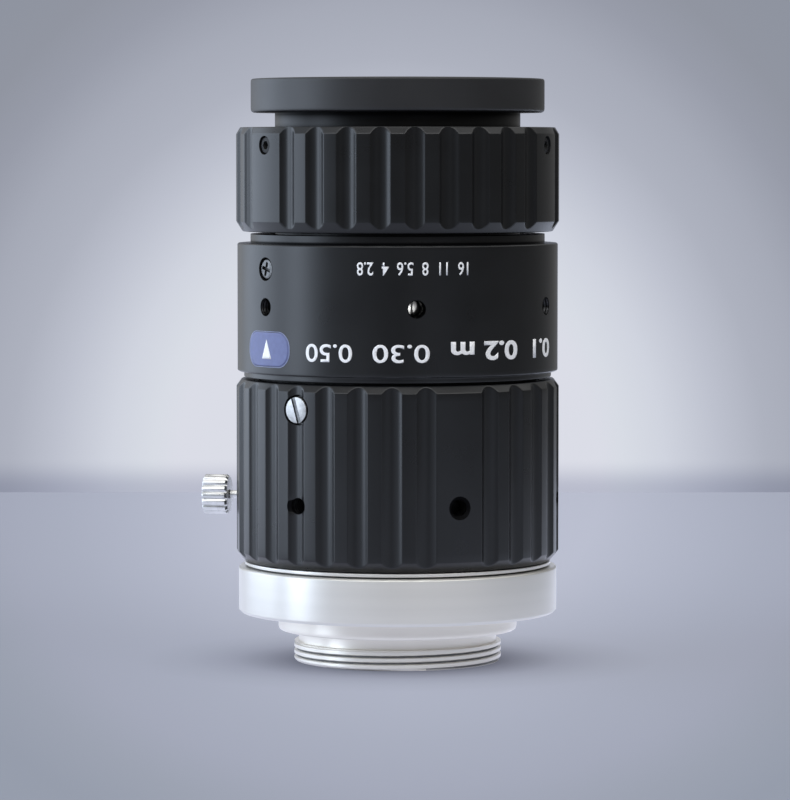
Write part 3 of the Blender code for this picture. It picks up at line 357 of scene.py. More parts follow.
# %% [markdown]
# Materials are built from nodes, and most of them need the same few: arithmetic, noise, a map from
# one range to another, a mix of two colours and the place of the shaded point.

# %% Node helpers


def feed(tree, socket, value):
    """Link an input to a socket, or set it to a number or an (r, g, b) colour."""
    if isinstance(value, bpy.types.NodeSocket):
        tree.links.new(value, socket)
    elif isinstance(value, tuple):
        socket.default_value = (*value, 1.0)
    else:
        socket.default_value = value


def math_node(tree, operation, *values):
    """A Math node whose inputs are sockets or numbers; gives its output socket."""
    node = tree.nodes.new("ShaderNodeMath")
    node.operation = operation
    for socket, value in zip(node.inputs, values):
        feed(tree, socket, value)
    return node.outputs[0]


def noise_node(tree, vector, scale, detail):
    """A Noise texture on a vector; gives its 0 to 1 value."""
    node = tree.nodes.new("ShaderNodeTexNoise")
    for label, value in (("Vector", vector), ("Scale", scale), ("Detail", detail)):
        feed(tree, node.inputs[label], value)
    return node.outputs["Fac"]


def map_range(tree, value, source, target=(0.0, 1.0), kind="LINEAR"):
    """Map a socket from one range onto another; gives the value socket."""
    node = tree.nodes.new("ShaderNodeMapRange")
    node.interpolation_type = kind
    for label, limit in zip(("From Min", "From Max", "To Min", "To Max"), (*source, *target)):
        node.inputs[label].default_value = limit
    tree.links.new(value, node.inputs["Value"])
    return node.outputs["Result"]


def mix_colours(tree, factor, first, second, kind="MIX"):
    """Mix two colours by a factor; gives the colour socket."""
    node = tree.nodes.new("ShaderNodeMix")
    node.data_type = "RGBA"
    node.blend_type = kind
    for label, value in (("Factor", factor), ("A", first), ("B", second)):
        feed(tree, node.inputs[label], value)
    return node.outputs["Result"]


def place_parts(tree, kind="Object"):
    """The sockets of the shaded point's X, Y and Z."""
    place = tree.nodes.new("ShaderNodeTexCoord")
    parts = tree.nodes.new("ShaderNodeSeparateXYZ")
    tree.links.new(place.outputs[kind], parts.inputs[0])
    return tuple(parts.outputs)


def new_group(name, inputs):
    """An empty shader node group with named inputs, that gives a Height and a Pattern."""
    group = bpy.data.node_groups.new(name, "ShaderNodeTree")
    for label, value in inputs.items():
        socket = group.interface.new_socket(name=label, in_out="INPUT", socket_type="NodeSocketFloat")
        socket.default_value = value
    for label in ("Height", "Pattern"):
        group.interface.new_socket(name=label, in_out="OUTPUT", socket_type="NodeSocketFloat")
    return group, group.nodes.new("NodeGroupInput"), group.nodes.new("NodeGroupOutput")


def new_material(name):
    """A material with nodes; gives it, its tree and its shader."""
    made = bpy.data.materials.new(name)
    made.use_nodes = True
    return made, made.node_tree, made.node_tree.nodes["Principled BSDF"]


# %% [markdown]
# Two effects are shared by many finishes, so each is a node group. The first is the skin of an
# anodised part: the blasting before the bath leaves a fine, even grain, and handling leaves soft
# patches that are a little glossier.

# %% Node group: anodised skin
GRAIN_DETAIL = 3.0
PATCH_DETAIL = 4.0

skin_group, skin_in, skin_out = new_group("anodised_skin", {"Grain Scale": 9000.0, "Patch Scale": 180.0})
skin_place = skin_group.nodes.new("ShaderNodeTexCoord").outputs["Object"]
for scale, detail, target in (("Grain Scale", GRAIN_DETAIL, "Height"),
                              ("Patch Scale", PATCH_DETAIL, "Pattern")):
    skin_noise = noise_node(skin_group, skin_place, skin_in.outputs[scale], detail)
    skin_group.links.new(skin_noise, skin_out.inputs[target])
print("group made:", skin_group.name)

# %% [markdown]
# The second effect is the mark of the lathe. A tool leaves very fine rings, which follow the radius
# on a flat face and the height on a cylinder. Noise that is stretched round the axis gives both:
# it is read at (radius, height) and hardly changes with the angle.

# %% Node group: lathe marks
ANGLE_SHARE = 0.8
STREAK_SHARE = 0.12
RING_DETAIL = 3.0
STREAK_DETAIL = 2.0

lathe_group, lathe_in, lathe_out = new_group("lathe_marks", {"Ring Scale": 9000.0})
lathe_x, lathe_y, lathe_z = place_parts(lathe_group)
square_x = math_node(lathe_group, "MULTIPLY", lathe_x, lathe_x)
square_y = math_node(lathe_group, "MULTIPLY", lathe_y, lathe_y)
lathe_radius = math_node(lathe_group, "SQRT", math_node(lathe_group, "ADD", square_x, square_y))
lathe_cosine = math_node(lathe_group, "COSINE", math_node(lathe_group, "ARCTAN2", lathe_y, lathe_x))
ring_scale = lathe_in.outputs["Ring Scale"]
lathe_join = lathe_group.nodes.new("ShaderNodeCombineXYZ")
for label, value, scale in (("X", lathe_radius, ring_scale), ("Y", lathe_z, ring_scale),
                            ("Z", lathe_cosine, ANGLE_SHARE)):
    feed(lathe_group, lathe_join.inputs[label], math_node(lathe_group, "MULTIPLY", value, scale))
lathe_wide = lathe_group.nodes.new("ShaderNodeVectorMath")
lathe_wide.operation = "SCALE"
lathe_wide.inputs["Scale"].default_value = STREAK_SHARE
lathe_group.links.new(lathe_join.outputs[0], lathe_wide.inputs[0])
for source, detail, target in ((lathe_join, RING_DETAIL, "Height"), (lathe_wide, STREAK_DETAIL, "Pattern")):
    lathe_noise = noise_node(lathe_group, source.outputs[0], 1.0, detail)
    lathe_group.links.new(lathe_noise, lathe_out.inputs[target])
print("group made:", lathe_group.name)

# %% [markdown]
# A finish is a Principled shader with one of the groups. The group's pattern moves the colour and
# the roughness a little round their middle values, and its height feeds a Bump node.

# %% Finishes from a group
NOISE_RANGE = (0.3, 0.7)


def finish_of(name, dark, light, rough, metallic, bump, scales=None, group=skin_group, **sockets):
    """A material whose colour, roughness and bump follow a group's pattern.

    dark and light are the two ends of the colour, rough is the range of the roughness, bump is the
    depth of the relief in metres, scales are values for the group and sockets for the shader.
    """
    made, tree, shader = new_material(name)
    effect = tree.nodes.new("ShaderNodeGroup")
    effect.node_tree = group
    for label, value in (scales or {}).items():
        effect.inputs[label].default_value = value
    pattern = effect.outputs["Pattern"]
    relief = tree.nodes.new("ShaderNodeBump")
    relief.inputs["Strength"].default_value = 1.0
    relief.inputs["Distance"].default_value = bump
    tree.links.new(effect.outputs["Height"], relief.inputs["Height"])
    sockets["Base Color"] = mix_colours(tree, map_range(tree, pattern, NOISE_RANGE), dark, light)
    sockets["Roughness"] = map_range(tree, pattern, NOISE_RANGE, rough)
    sockets["Metallic"] = metallic
    sockets["Normal"] = relief.outputs["Normal"]
    for label, value in sockets.items():
        feed(tree, shader.inputs[label.replace("_", " ")], value)
    return made


satin_black = finish_of("satin_black_anodise", (0.0035, 0.0038, 0.0045), (0.0048, 0.0052, 0.006),
                        (0.27, 0.31), 0.0, 0.0015 * MM, IOR=1.45)
matt_black = finish_of("matt_black_rim", (0.010, 0.010, 0.011), (0.012, 0.012, 0.013),
                       (0.42, 0.48), 0.0, 0.004 * MM, {"Grain Scale": 6000.0}, IOR=1.5)
inner_black = finish_of("inner_black", (0.004, 0.004, 0.0045), (0.006, 0.006, 0.007),
                        (0.5, 0.65), 0.0, 0.004 * MM, IOR=1.4)
# Near black with a weak reflection, for the countersinks: painted shade.
sink_painted_shade = finish_of("sink_painted_shade", (0.002, 0.002, 0.0024), (0.003, 0.003, 0.0035),
                       (0.5, 0.6), 0.0, 0.002 * MM, IOR=1.12)
bright_metal = finish_of("bright_screw_metal", (0.80, 0.80, 0.79), (0.92, 0.92, 0.91),
                         (0.28, 0.38), 1.0, 0.002 * MM, {"Patch Scale": 900.0})
knurl_metal = finish_of("knurl_metal", (0.60, 0.60, 0.59), (0.74, 0.74, 0.73),
                        (0.26, 0.36), 1.0, 0.003 * MM, {"Patch Scale": 1200.0})
screw_silver = finish_of("screw_silver", (0.34, 0.34, 0.335), (0.52, 0.52, 0.51),
                         (0.36, 0.46), 1.0, 0.004 * MM, {"Patch Scale": 1800.0})
dark_steel = finish_of("blackened_steel", (0.02, 0.02, 0.021), (0.06, 0.06, 0.062),
                       (0.3, 0.42), 1.0, 0.004 * MM, {"Patch Scale": 1800.0})
cross_steel = finish_of("dull_steel", (0.07, 0.07, 0.07), (0.18, 0.18, 0.178),
                        (0.3, 0.42), 1.0, 0.004 * MM, {"Patch Scale": 1800.0})
print("finishes:", len(bpy.data.materials))

# %% [markdown]
# The silver mount is turned and then dulled in the anodising bath. Its fine rings run round the axis,
# so a reflection is drawn out along the axis and stays narrow round it. That is what gives turned
# metal its soft upright bands. The Tangent node supplies the direction round the axis.

# %% Turned silver
LATHE_RELIEF = 0.0002 * MM
QUARTER_TURN = 0.25


def turned_metal(name, dark, light, rough, metallic, stretch):
    """A lathe finish whose reflections are drawn out along the axis."""
    made = finish_of(name, dark, light, rough, metallic, LATHE_RELIEF, group=lathe_group,
                     Anisotropic=stretch, Anisotropic_Rotation=QUARTER_TURN)
    tree = made.node_tree
    around_axis = tree.nodes.new("ShaderNodeTangent")
    around_axis.direction_type = "RADIAL"
    around_axis.axis = "Z"
    feed(tree, tree.nodes["Principled BSDF"].inputs["Tangent"], around_axis.outputs["Tangent"])
    return made


turned_silver = turned_metal("turned_silver", (0.68, 0.665, 0.628), (0.70, 0.685, 0.648),
                             (0.32, 0.34), 0.7, 0.9)
# A paler, warmer copy of the turned silver for the shoulder: painted light.
shoulder_silver_painted_light = turned_metal("shoulder_silver_painted_light", (0.82, 0.785, 0.71), (0.84, 0.805, 0.73),
                               (0.32, 0.34), 0.7, 0.9)
# A brighter copy of the silver for the thread: painted light.
thread_silver_painted_light = turned_metal("thread_silver_painted_light", (0.74, 0.715, 0.65), (0.82, 0.795, 0.72),
                             (0.36, 0.4), 0.8, 0.8)
# Dark grey for the groove under the band and for the cuts of the screws: painted shade.
recess_painted_shade = finish_of("recess_painted_shade", (0.06, 0.06, 0.06), (0.09, 0.09, 0.088), (0.4, 0.5), 0.8,
                        LATHE_RELIEF, group=lathe_group)
# Grey for the foot of the thread's narrow groove: painted shade.
thread_root_painted_shade = finish_of("thread_root_painted_shade", (0.30, 0.30, 0.30), (0.40, 0.40, 0.395), (0.4, 0.5), 0.6,
                        LATHE_RELIEF, group=lathe_group)
print("finishes made:", turned_silver.name, shoulder_silver_painted_light.name, thread_silver_painted_light.name, thread_root_painted_shade.name)

# %% [markdown]
# Paint on the barrel is silk-screened: it has a dull, slightly uneven face. White is used for the
# figures and a grey violet for the plain badge. The glass is clear and thinly coated.

# %% Printing inks and glass
GLASS_INDEX = 1.6
FILM_INDEX = 1.38
GLASS_DUST = (0.0, 0.02)

white_ink = finish_of("white_ink", (0.90, 0.90, 0.91), (0.94, 0.94, 0.95), (0.5, 0.6), 0.0,
                      0.004 * MM, {"Patch Scale": 2500.0})
violet_ink = finish_of("violet_ink", (0.105, 0.125, 0.27), (0.135, 0.16, 0.33), (0.45, 0.55), 0.0,
                       0.003 * MM, {"Patch Scale": 1500.0})
pale_ink = finish_of("pale_outline_ink", (0.20, 0.23, 0.38), (0.25, 0.28, 0.44), (0.45, 0.55), 0.0,
                     0.003 * MM, {"Patch Scale": 1500.0})


def coated_glass(name, tint, film, gloss):
    """Clear glass with a thin coating, whose thickness in nanometres colours the weakened reflection.

    Faint noise in the roughness stands for the last trace of dust that every glass face has.
    """
    made, tree, shader = new_material(name)
    skin = tree.nodes.new("ShaderNodeGroup")
    skin.node_tree = skin_group
    for label, value in {
        "Base Color": tint, "Transmission Weight": 1.0, "IOR": GLASS_INDEX, "Specular IOR Level": gloss,
        "Thin Film Thickness": film, "Thin Film IOR": FILM_INDEX,
        "Roughness": map_range(tree, skin.outputs["Pattern"], NOISE_RANGE, GLASS_DUST),
    }.items():
        feed(tree, shader.inputs[label], value)
    return made


front_glass = coated_glass("front_glass", (0.97, 0.98, 1.0), 190.0, 0.3)
inner_glass = coated_glass("inner_glass", (0.97, 1.0, 0.98), 240.0, 0.1)
print("materials in all:", len(bpy.data.materials))

# %% [markdown]
# ## The silver mount
# The base is one turned piece: thread, relief, shoulder, flange and a thin band above a groove. All
# of it is one outline, but the thread is a helix and not a set of rings. On the rows that belong to
# the thread the radius also depends on the angle, so that the ridge climbs one pitch in each turn.

# %% Sizes of the mount base
THREAD_PITCH = 25.4 * MM / 32
THREAD_DEPTH = 0.44 * MM
THREAD_RADIUS = 12.7 * MM
THREAD_PHASE = 0.73
THREAD_CHAMFER = 0.3 * MM
THREAD_RUN_OUT = 0.25 * MM
THREAD_ROWS = 96
THREAD_FOOT = THREAD_RADIUS - 0.6 * THREAD_DEPTH
CREST_END = 0.5
FLANK = 0.45
RELIEF_RADIUS = 12.15 * MM
RELIEF_LOW = -1.4 * MM
SPIGOT_BORE = 11.0 * MM
SHOULDER_RADIUS = 14.65 * MM
SHOULDER_ROUND = (0.35 * MM, 0.6 * MM)
SHOULDER_TOP = 2.17 * MM
FLANGE_TOP = 7.83 * MM
FLANGE_LOW_BEVEL = 0.35 * MM
FLANGE_TOP_BEVEL = 0.18 * MM
GROOVE_TOP = 8.04 * MM
BAND_RADIUS = 18.75 * MM
GROOVE_DEPTH = 0.55 * MM
GROOVE_LIP = 0.1 * MM
BAND_CLOSE = 0.15 * MM
MOUNT_COLUMNS = 384
print("thread pitch in mm:", round(THREAD_PITCH / MM, 4))

# %% [markdown]
# The finishes go by place. Below the flange, a paler, warmer copy of the silver on the shoulder and
# a brighter one on the thread are painted light. The foot of the thread and the groove get dark
# finishes, which are painted shade.

# %% Mount base


def thread_profile(phase):
    """Depth of the thread at a phase: 0 on the flat crest, 1 at the foot of the narrow groove.

    The triangle |2 * fraction - 1| is clipped at both ends, more on the side of the crest.
    """
    triangle = np.abs(2.0 * np.mod(phase, 1.0) - 1.0)
    return np.clip((triangle - CREST_END) / FLANK, 0.0, 1.0)


def mount_outline():
    """The base's outline: thread side, relief, shoulder, flange, groove, band, seat and bore."""
    seat = outer_radius("guide_sleeve") + CLEARANCE
    floor = heights("guide_sleeve")[0] - CLEARANCE
    band_top = Z_BAND_TOP + BAND_CLOSE
    groove_radius = BAND_RADIUS - GROOVE_DEPTH
    return [
        (THREAD_RADIUS, Z_REAR + THREAD_CHAMFER), (THREAD_RADIUS, RELIEF_LOW), (RELIEF_RADIUS, RELIEF_LOW),
        (RELIEF_RADIUS, 0.0),
        *soft_corner((SHOULDER_RADIUS - SHOULDER_ROUND[0], 0.0), (SHOULDER_RADIUS, 0.0),
                     (SHOULDER_RADIUS, SHOULDER_ROUND[1])),
        (SHOULDER_RADIUS, SHOULDER_TOP), (FLANGE_RADIUS - FLANGE_LOW_BEVEL, SHOULDER_TOP),
        (FLANGE_RADIUS, SHOULDER_TOP + FLANGE_LOW_BEVEL), (FLANGE_RADIUS, FLANGE_TOP - FLANGE_TOP_BEVEL),
        (FLANGE_RADIUS - FLANGE_TOP_BEVEL, FLANGE_TOP), (groove_radius, FLANGE_TOP),
        (groove_radius, GROOVE_TOP), (BAND_RADIUS, GROOVE_TOP), (BAND_RADIUS, band_top),
        (seat, band_top), (seat, floor), (SPIGOT_BORE, floor), (SPIGOT_BORE, Z_REAR),
        (THREAD_RADIUS - THREAD_CHAMFER, Z_REAR),
    ]


def make_mount_base():
    """The base as one grid: a rounded outline, with thread rows between the rear end and the relief."""
    curve = rounded(mount_outline())
    side = (curve[:, 0] > THREAD_RADIUS - TOLERANCE) & (curve[:, 1] < RELIEF_LOW + TOLERANCE)
    first = int(np.argmax(side))
    last = len(curve) - 1 - int(np.argmax(side[::-1]))
    fine = np.linspace(curve[first], curve[last], THREAD_ROWS)
    curve = np.concatenate([curve[:first], fine, curve[last + 1:]])
    azimuth = full_turn(MOUNT_COLUMNS)
    radius, height = np.hsplit(curve, 2)
    threaded = (height < RELIEF_LOW) & (radius > RELIEF_RADIUS)
    phase = height / THREAD_PITCH - azimuth / (2 * math.pi) + THREAD_PHASE
    fade = np.clip((RELIEF_LOW - height) / THREAD_RUN_OUT, 0.0, 1.0)
    cut = thread_profile(phase) * THREAD_DEPTH * fade
    radius = np.where(threaded, np.minimum(radius, THREAD_RADIUS - cut), radius)
    return shade(grid_object("mount_base_turned", turn_points(radius, height, azimuth)), angle=25.0)


mount_base = make_mount_base()
dress(mount_base, turned_silver, "mount_base", "silver_anodised", "mount")
thread_top = RELIEF_LOW - 2 * TOLERANCE
# Painted light on the shoulder and the thread, painted shade at the thread's foot and in the groove.
for zone in (
    (shoulder_silver_painted_light, -math.inf, SHOULDER_TOP),
    (thread_silver_painted_light, -math.inf, thread_top, RELIEF_RADIUS),
    (thread_root_painted_shade, -math.inf, thread_top, RELIEF_RADIUS, THREAD_FOOT),
    (recess_painted_shade, FLANGE_TOP, GROOVE_TOP, BAND_RADIUS - 2 * GROOVE_DEPTH, BAND_RADIUS - GROOVE_LIP),
):
    finish_zone(mount_base, *zone)

# %% [markdown]
# ## The fluted grip rings
# Each ring has scallops milled parallel to the axis with a round cutter, every twelve degrees, and
# leaves three wide lands for the screws. The surface is worked out as the smaller of two radii: that
# of the turned, chamfered blank and that of the milled scallop. Where the chamfer dips below the
# scallop the scallop ends in an arch, just as it does on the real ring. A smooth minimum breaks the edge.

# %% Fluted surface
FLUTE_PITCH = 12.0
FLUTES_PER_LAND = 10
FLUTE_RADIUS = 1.75 * MM
FLUTE_DEPTH = 0.52 * MM
FLUTE_COLUMNS = 44
FLUTE_EDGE = 0.05 * MM
RING_BORE = 17.3 * MM
RING_EDGE = 0.1 * MM
RING_STEPS = 3
CHAMFER_ROWS = 0.1 * MM
SIDE_ROWS = 0.9 * MM
CUT_PAST = 1 * MM


def smooth_minimum(first, second, blend):
    """The smaller of two arrays, blended over a short length: mix minus blend * h * (1 - h)."""
    h = np.clip(0.5 + 0.5 * (second - first) / blend, 0.0, 1.0)
    return second * (1 - h) + first * h - blend * h * (1 - h)


def flute_surface(azimuth, land):
    """Radius of the milled scallops at each azimuth in degrees; far outside on the lands.

    A cutter of radius c whose axis is at a distance d leaves d*cos(a) - sqrt(c^2 - d^2*sin(a)^2).
    """
    distance = GRIP_RADIUS + FLUTE_RADIUS - FLUTE_DEPTH
    index = np.round((azimuth - land) / FLUTE_PITCH)
    away = np.radians(azimuth - land - index * FLUTE_PITCH)
    inside = FLUTE_RADIUS ** 2 - (distance * np.sin(away)) ** 2
    milled = distance * np.cos(away) - np.sqrt(np.maximum(inside, 0.0))
    plain = (np.mod(index, FLUTES_PER_LAND) == 0) | (inside <= 0)
    return np.where(plain, GRIP_RADIUS + CUT_PAST, milled)


def fluted_ring(name, low, high, low_chamfer, top_chamfer, bore_steps, land):
    """A grip ring: outer side with two chamfers (radial, axial), bore from a list of points."""
    def spacing(here, there):
        """Close rows on the chamfers, where the scallops run out, a few on the side, none in the bore."""
        if min(here[0], there[0]) <= RING_BORE + CUT_PAST:
            return math.inf
        on_chamfer = min(here[1], there[1]) < low + low_chamfer[1] - 5 * TOLERANCE \
            or max(here[1], there[1]) > high - top_chamfer[1] + 5 * TOLERANCE
        return CHAMFER_ROWS if on_chamfer else SIDE_ROWS

    outline = [(GRIP_RADIUS - low_chamfer[0], low), (GRIP_RADIUS, low + low_chamfer[1]),
               (GRIP_RADIUS, high - top_chamfer[1]), (GRIP_RADIUS - top_chamfer[0], high), *bore_steps]
    curve = with_rows(rounded(outline, RING_EDGE, RING_STEPS), spacing)
    columns = round(360 / FLUTE_PITCH) * FLUTE_COLUMNS
    azimuth = land + np.linspace(0, 360, columns, endpoint=False)
    radius = smooth_minimum(curve[:, 0:1], flute_surface(azimuth, land)[None, :], FLUTE_EDGE)
    points = turn_points(radius, curve[:, 1:2], np.radians(azimuth)[None, :])
    return shade(grid_object(name, points), angle=30.0)


# %% [markdown]
# The focus ring carries six tapped holes for its lock screw, each with a countersink, and a slotted
# silver screw sits in a counterbore near the top. A tapped hole is cut with a sawtooth profile, so
# the turns of its thread glint in the dark. Where a hole meets a scallop the Boolean gives the oval.

# %% Tapped holes
TAP_PITCH = 0.4 * MM
TAP_DEPTH = 0.1 * MM
FACING_OUT = 0.9


def tapped(radius, low, high):
    """Profile of a tapped hole: the radius falls by the thread's depth in the middle of each pitch."""
    count = 2 * int((high - low) / TAP_PITCH) + 1
    distance = low + np.arange(count) * TAP_PITCH / 2
    wave = radius - TAP_DEPTH * (np.arange(count) % 2)
    return list(zip(wave.tolist(), distance.tolist()))


def paint_shade_in_holes(piece, frames, radius, finish=inner_black, flare=None):
    """Give the walls of the holes along some frames a darker finish of their own: painted shade.

    With flare, the distance at which a countersink leaves the hole at 45 degrees, only the
    countersink gets it.
    """
    inverses = [place.inverted() for place in frames]

    def on_wall(face, inverse):
        spot = inverse @ face.center
        past = math.hypot(spot.x, spot.y) - radius
        wall = past < TOLERANCE if flare is None else abs(past - spot.z + flare) < 5 * TOLERANCE
        return wall and spot.z > 0 and (inverse.to_3x3() @ face.normal).z < FACING_OUT

    finish_faces(piece, finish, lambda face: any(on_wall(face, inverse) for inverse in inverses))


# %% [markdown]
# The countersinks get a near-black finish that barely reflects, which is painted shade. The tapped walls
# below them are of blackened metal, dark like painted shade, whose thread turns still catch glints.

# %% Focus ring
FOCUS_LAND = 22.0
FOCUS_CHAMFERS = ((1.0 * MM, 1.2 * MM), (0.65 * MM, 0.9 * MM))
FOCUS_HOLES = 6
FOCUS_HOLE_HEIGHT = Z_FOCUS_LOW + 7.67 * MM
FOCUS_LIP_TOP = Z_FOCUS_LOW + 2.3 * MM
FOCUS_LIP_RADIUS = outer_radius("guide_sleeve") + CLEARANCE
M2_RADIUS = 1.0 * MM
COUNTERSINK = 0.42 * MM
SINK_FOOT = GRIP_RADIUS - COUNTERSINK
STOP_AZIMUTH = -38.0
STOP_HEIGHT = Z_FOCUS_TOP - 3.05 * MM
STOP_SINK_RADIUS = 1.85 * MM
STOP_SINK_DEPTH = 1.1 * MM
GRIP_OUTSIDE = GRIP_RADIUS + CUT_PAST

focus_ring = fluted_ring("focus_ring_fluted", Z_FOCUS_LOW, Z_FOCUS_TOP, *FOCUS_CHAMFERS,
                         [(RING_BORE, Z_FOCUS_TOP), (RING_BORE, FOCUS_LIP_TOP),
                          (FOCUS_LIP_RADIUS, FOCUS_LIP_TOP), (FOCUS_LIP_RADIUS, Z_FOCUS_LOW)], FOCUS_LAND)
hole_frames = frames_round(FOCUS_LAND, FOCUS_HOLES, FOCUS_HOLE_HEIGHT)
hole_profile = tapped(M2_RADIUS, RING_BORE - CUT_PAST, SINK_FOOT)
hole_profile += [(M2_RADIUS, SINK_FOOT), (M2_RADIUS + COUNTERSINK + CUT_PAST, GRIP_OUTSIDE)]
stop_frame = radial_frame(STOP_AZIMUTH, STOP_HEIGHT)
stop_bore = [(STOP_SINK_RADIUS, GRIP_RADIUS - STOP_SINK_DEPTH), (STOP_SINK_RADIUS, GRIP_OUTSIDE)]
drill(focus_ring, lathe_cutter(hole_frames, hole_profile),
      lathe_cutter([stop_frame], stop_bore, SCREW_COLUMNS))
dress(focus_ring, satin_black, "focus_ring", "black_anodised", "focus_ring")
# Painted shade in the holes: near black in the countersinks, blackened metal on the tapped walls, inner black
# in the counterbore.
paint_shade_in_holes(focus_ring, hole_frames, M2_RADIUS, sink_painted_shade, SINK_FOOT)
paint_shade_in_holes(focus_ring, hole_frames, M2_RADIUS, dark_steel)
paint_shade_in_holes(focus_ring, [stop_frame], STOP_SINK_RADIUS)

# %% [markdown]
# The iris ring is made the same way, with its lands turned to other places, and has one set screw
# in each land.

# %% Iris ring
IRIS_LAND = 66.0
IRIS_CHAMFERS = ((0.8 * MM, 1.25 * MM), (0.5 * MM, 0.85 * MM))
IRIS_LIP_LOW = Z_IRIS_TOP - 1.1 * MM
IRIS_LIP_RADIUS = RIM_RADIUS - 2.65 * MM
GRUB_COUNT = 3
GRUB_HEIGHT = Z_IRIS_TOP - 2.2 * MM
GRUB_HOLE_RADIUS = 1.13 * MM

iris_ring = fluted_ring("iris_ring_fluted", Z_IRIS_LOW, Z_IRIS_TOP, *IRIS_CHAMFERS,
                        [(IRIS_LIP_RADIUS, Z_IRIS_TOP), (IRIS_LIP_RADIUS, IRIS_LIP_LOW),
                         (RING_BORE, IRIS_LIP_LOW), (RING_BORE, Z_IRIS_LOW)], IRIS_LAND)
grub_frames = frames_round(IRIS_LAND, GRUB_COUNT, GRUB_HEIGHT)
drill(iris_ring, lathe_cutter(grub_frames, [(GRUB_HOLE_RADIUS, RING_BORE - CUT_PAST),
                                            (GRUB_HOLE_RADIUS, GRIP_OUTSIDE)]))
dress(iris_ring, satin_black, "iris_ring", "black_anodised", "iris_ring")
# Painted shade: the walls of the set screw holes get inner black.
paint_shade_in_holes(iris_ring, grub_frames, GRUB_HOLE_RADIUS)

# %% [markdown]
# ## The middle barrel
# A plain cylinder with a short neck at each end. Its rows are close together, so that the holes only
# disturb the small faces round them and the long reflections on the side stay clean. The neck above
# it gets painted shade: a near-black finish whose shine grows from dull at its foot, beside the
# barrel's top, to bright higher up.

# %% Sizes of the middle barrel
NAME_LOW = Z_NAME_NECK + 0.65 * MM
NAME_TOP = Z_NAME_END - 1.1 * MM
LOW_NECK_RADIUS = NAME_RADIUS - 0.8 * MM
HIGH_NECK_RADIUS = NAME_RADIUS - 1.6 * MM
NAME_BEVEL = 0.15 * MM
NAME_EDGE = 0.06 * MM
NAME_ROWS = 0.4 * MM
NAME_COLUMNS = 360
NAME_LIP = outer_radius("helicoid_barrel") - 1.4 * MM
NAME_OUTSIDE = NAME_RADIUS + CUT_PAST
LOCK_AZIMUTH = -54.0
DEEP_AZIMUTH = 6.6
NAME_HOLES = 3
CROSS_SCREWS = 2
HOLE_HEIGHT = NAME_TOP - 7.5 * MM
NAME_HOLE_RADIUS = 1.1 * MM
CROSS_HEIGHT = NAME_TOP - 2.95 * MM
CROSS_SINK_RADIUS = 1.42 * MM
CROSS_SINK_FLOOR = NAME_RADIUS - 1.0 * MM
# Shine of the painted shade on the necks, from dull to bright.
NECK_SHADE_SHINE = (0.03, 0.5)
NAME_NECK_SHADE = (NAME_TOP + 0.2 * MM, NAME_TOP + 0.4 * MM)
print("middle barrel height in mm:", round((NAME_TOP - NAME_LOW) / MM, 2))

# %% [markdown]
# Three tapped holes, three deep ones and two counterbores are drilled through its side.

# %% Middle barrel


def neck_painted_shade(name, dull_to_bright):
    """A near-black neck finish with painted shade: its shine grows from the dull to the bright one of two
    heights.
    """
    made = finish_of(name, (0.002, 0.002, 0.0024), (0.003, 0.003, 0.0035), (0.3, 0.34), 0.0,
                     0.002 * MM, IOR=1.4)
    tree = made.node_tree
    shine = map_range(tree, place_parts(tree)[2], dull_to_bright, NECK_SHADE_SHINE)
    feed(tree, tree.nodes["Principled BSDF"].inputs["Specular IOR Level"], shine)
    return made


def make_middle_barrel():
    """The barrel's outline, filled with rows on its upright sides and turned."""
    outline = [
        (RING_BORE, Z_NAME_NECK), (LOW_NECK_RADIUS, Z_NAME_NECK), (LOW_NECK_RADIUS, NAME_LOW),
        (NAME_RADIUS - NAME_BEVEL, NAME_LOW), (NAME_RADIUS, NAME_LOW + NAME_BEVEL),
        (NAME_RADIUS, NAME_TOP - NAME_BEVEL), (NAME_RADIUS - NAME_BEVEL, NAME_TOP),
        (HIGH_NECK_RADIUS, NAME_TOP), (HIGH_NECK_RADIUS, Z_NAME_END), (NAME_LIP, Z_NAME_END),
        (NAME_LIP, NAME_TOP), (RING_BORE, NAME_TOP),
    ]
    curve = with_rows(rounded(outline, NAME_EDGE), lambda here, there: NAME_ROWS)
    return grid_object("middle_barrel", turn_points(curve[:, 0:1], curve[:, 1:2], full_turn(NAME_COLUMNS)))


middle_barrel = make_middle_barrel()
lock_frames = frames_round(LOCK_AZIMUTH, NAME_HOLES, HOLE_HEIGHT)
deep_frames = frames_round(DEEP_AZIMUTH, NAME_HOLES, HOLE_HEIGHT)
cross_frames = frames_round(LOCK_AZIMUTH, CROSS_SCREWS, CROSS_HEIGHT)
name_tap = tapped(NAME_HOLE_RADIUS, RING_BORE - CUT_PAST, NAME_RADIUS) + [(NAME_HOLE_RADIUS, NAME_OUTSIDE)]
cross_bore = [(CROSS_SINK_RADIUS, CROSS_SINK_FLOOR), (CROSS_SINK_RADIUS, NAME_OUTSIDE)]
drill(middle_barrel, lathe_cutter(lock_frames + deep_frames, name_tap),
      lathe_cutter(cross_frames, cross_bore, SCREW_COLUMNS))
dress(middle_barrel, satin_black, "name_barrel", "black_anodised", "front_unit")
# Painted shade in the holes: blackened metal on the tapped walls, inner black in the counterbores.
paint_shade_in_holes(middle_barrel, lock_frames + deep_frames, NAME_HOLE_RADIUS, dark_steel)
paint_shade_in_holes(middle_barrel, cross_frames, CROSS_SINK_RADIUS)
# Painted shade on the neck above the middle barrel.
finish_zone(middle_barrel, neck_painted_shade("painted_shade_neck_of_middle_barrel", NAME_NECK_SHADE),
            NAME_TOP + 2 * TOLERANCE, Z_NAME_END)

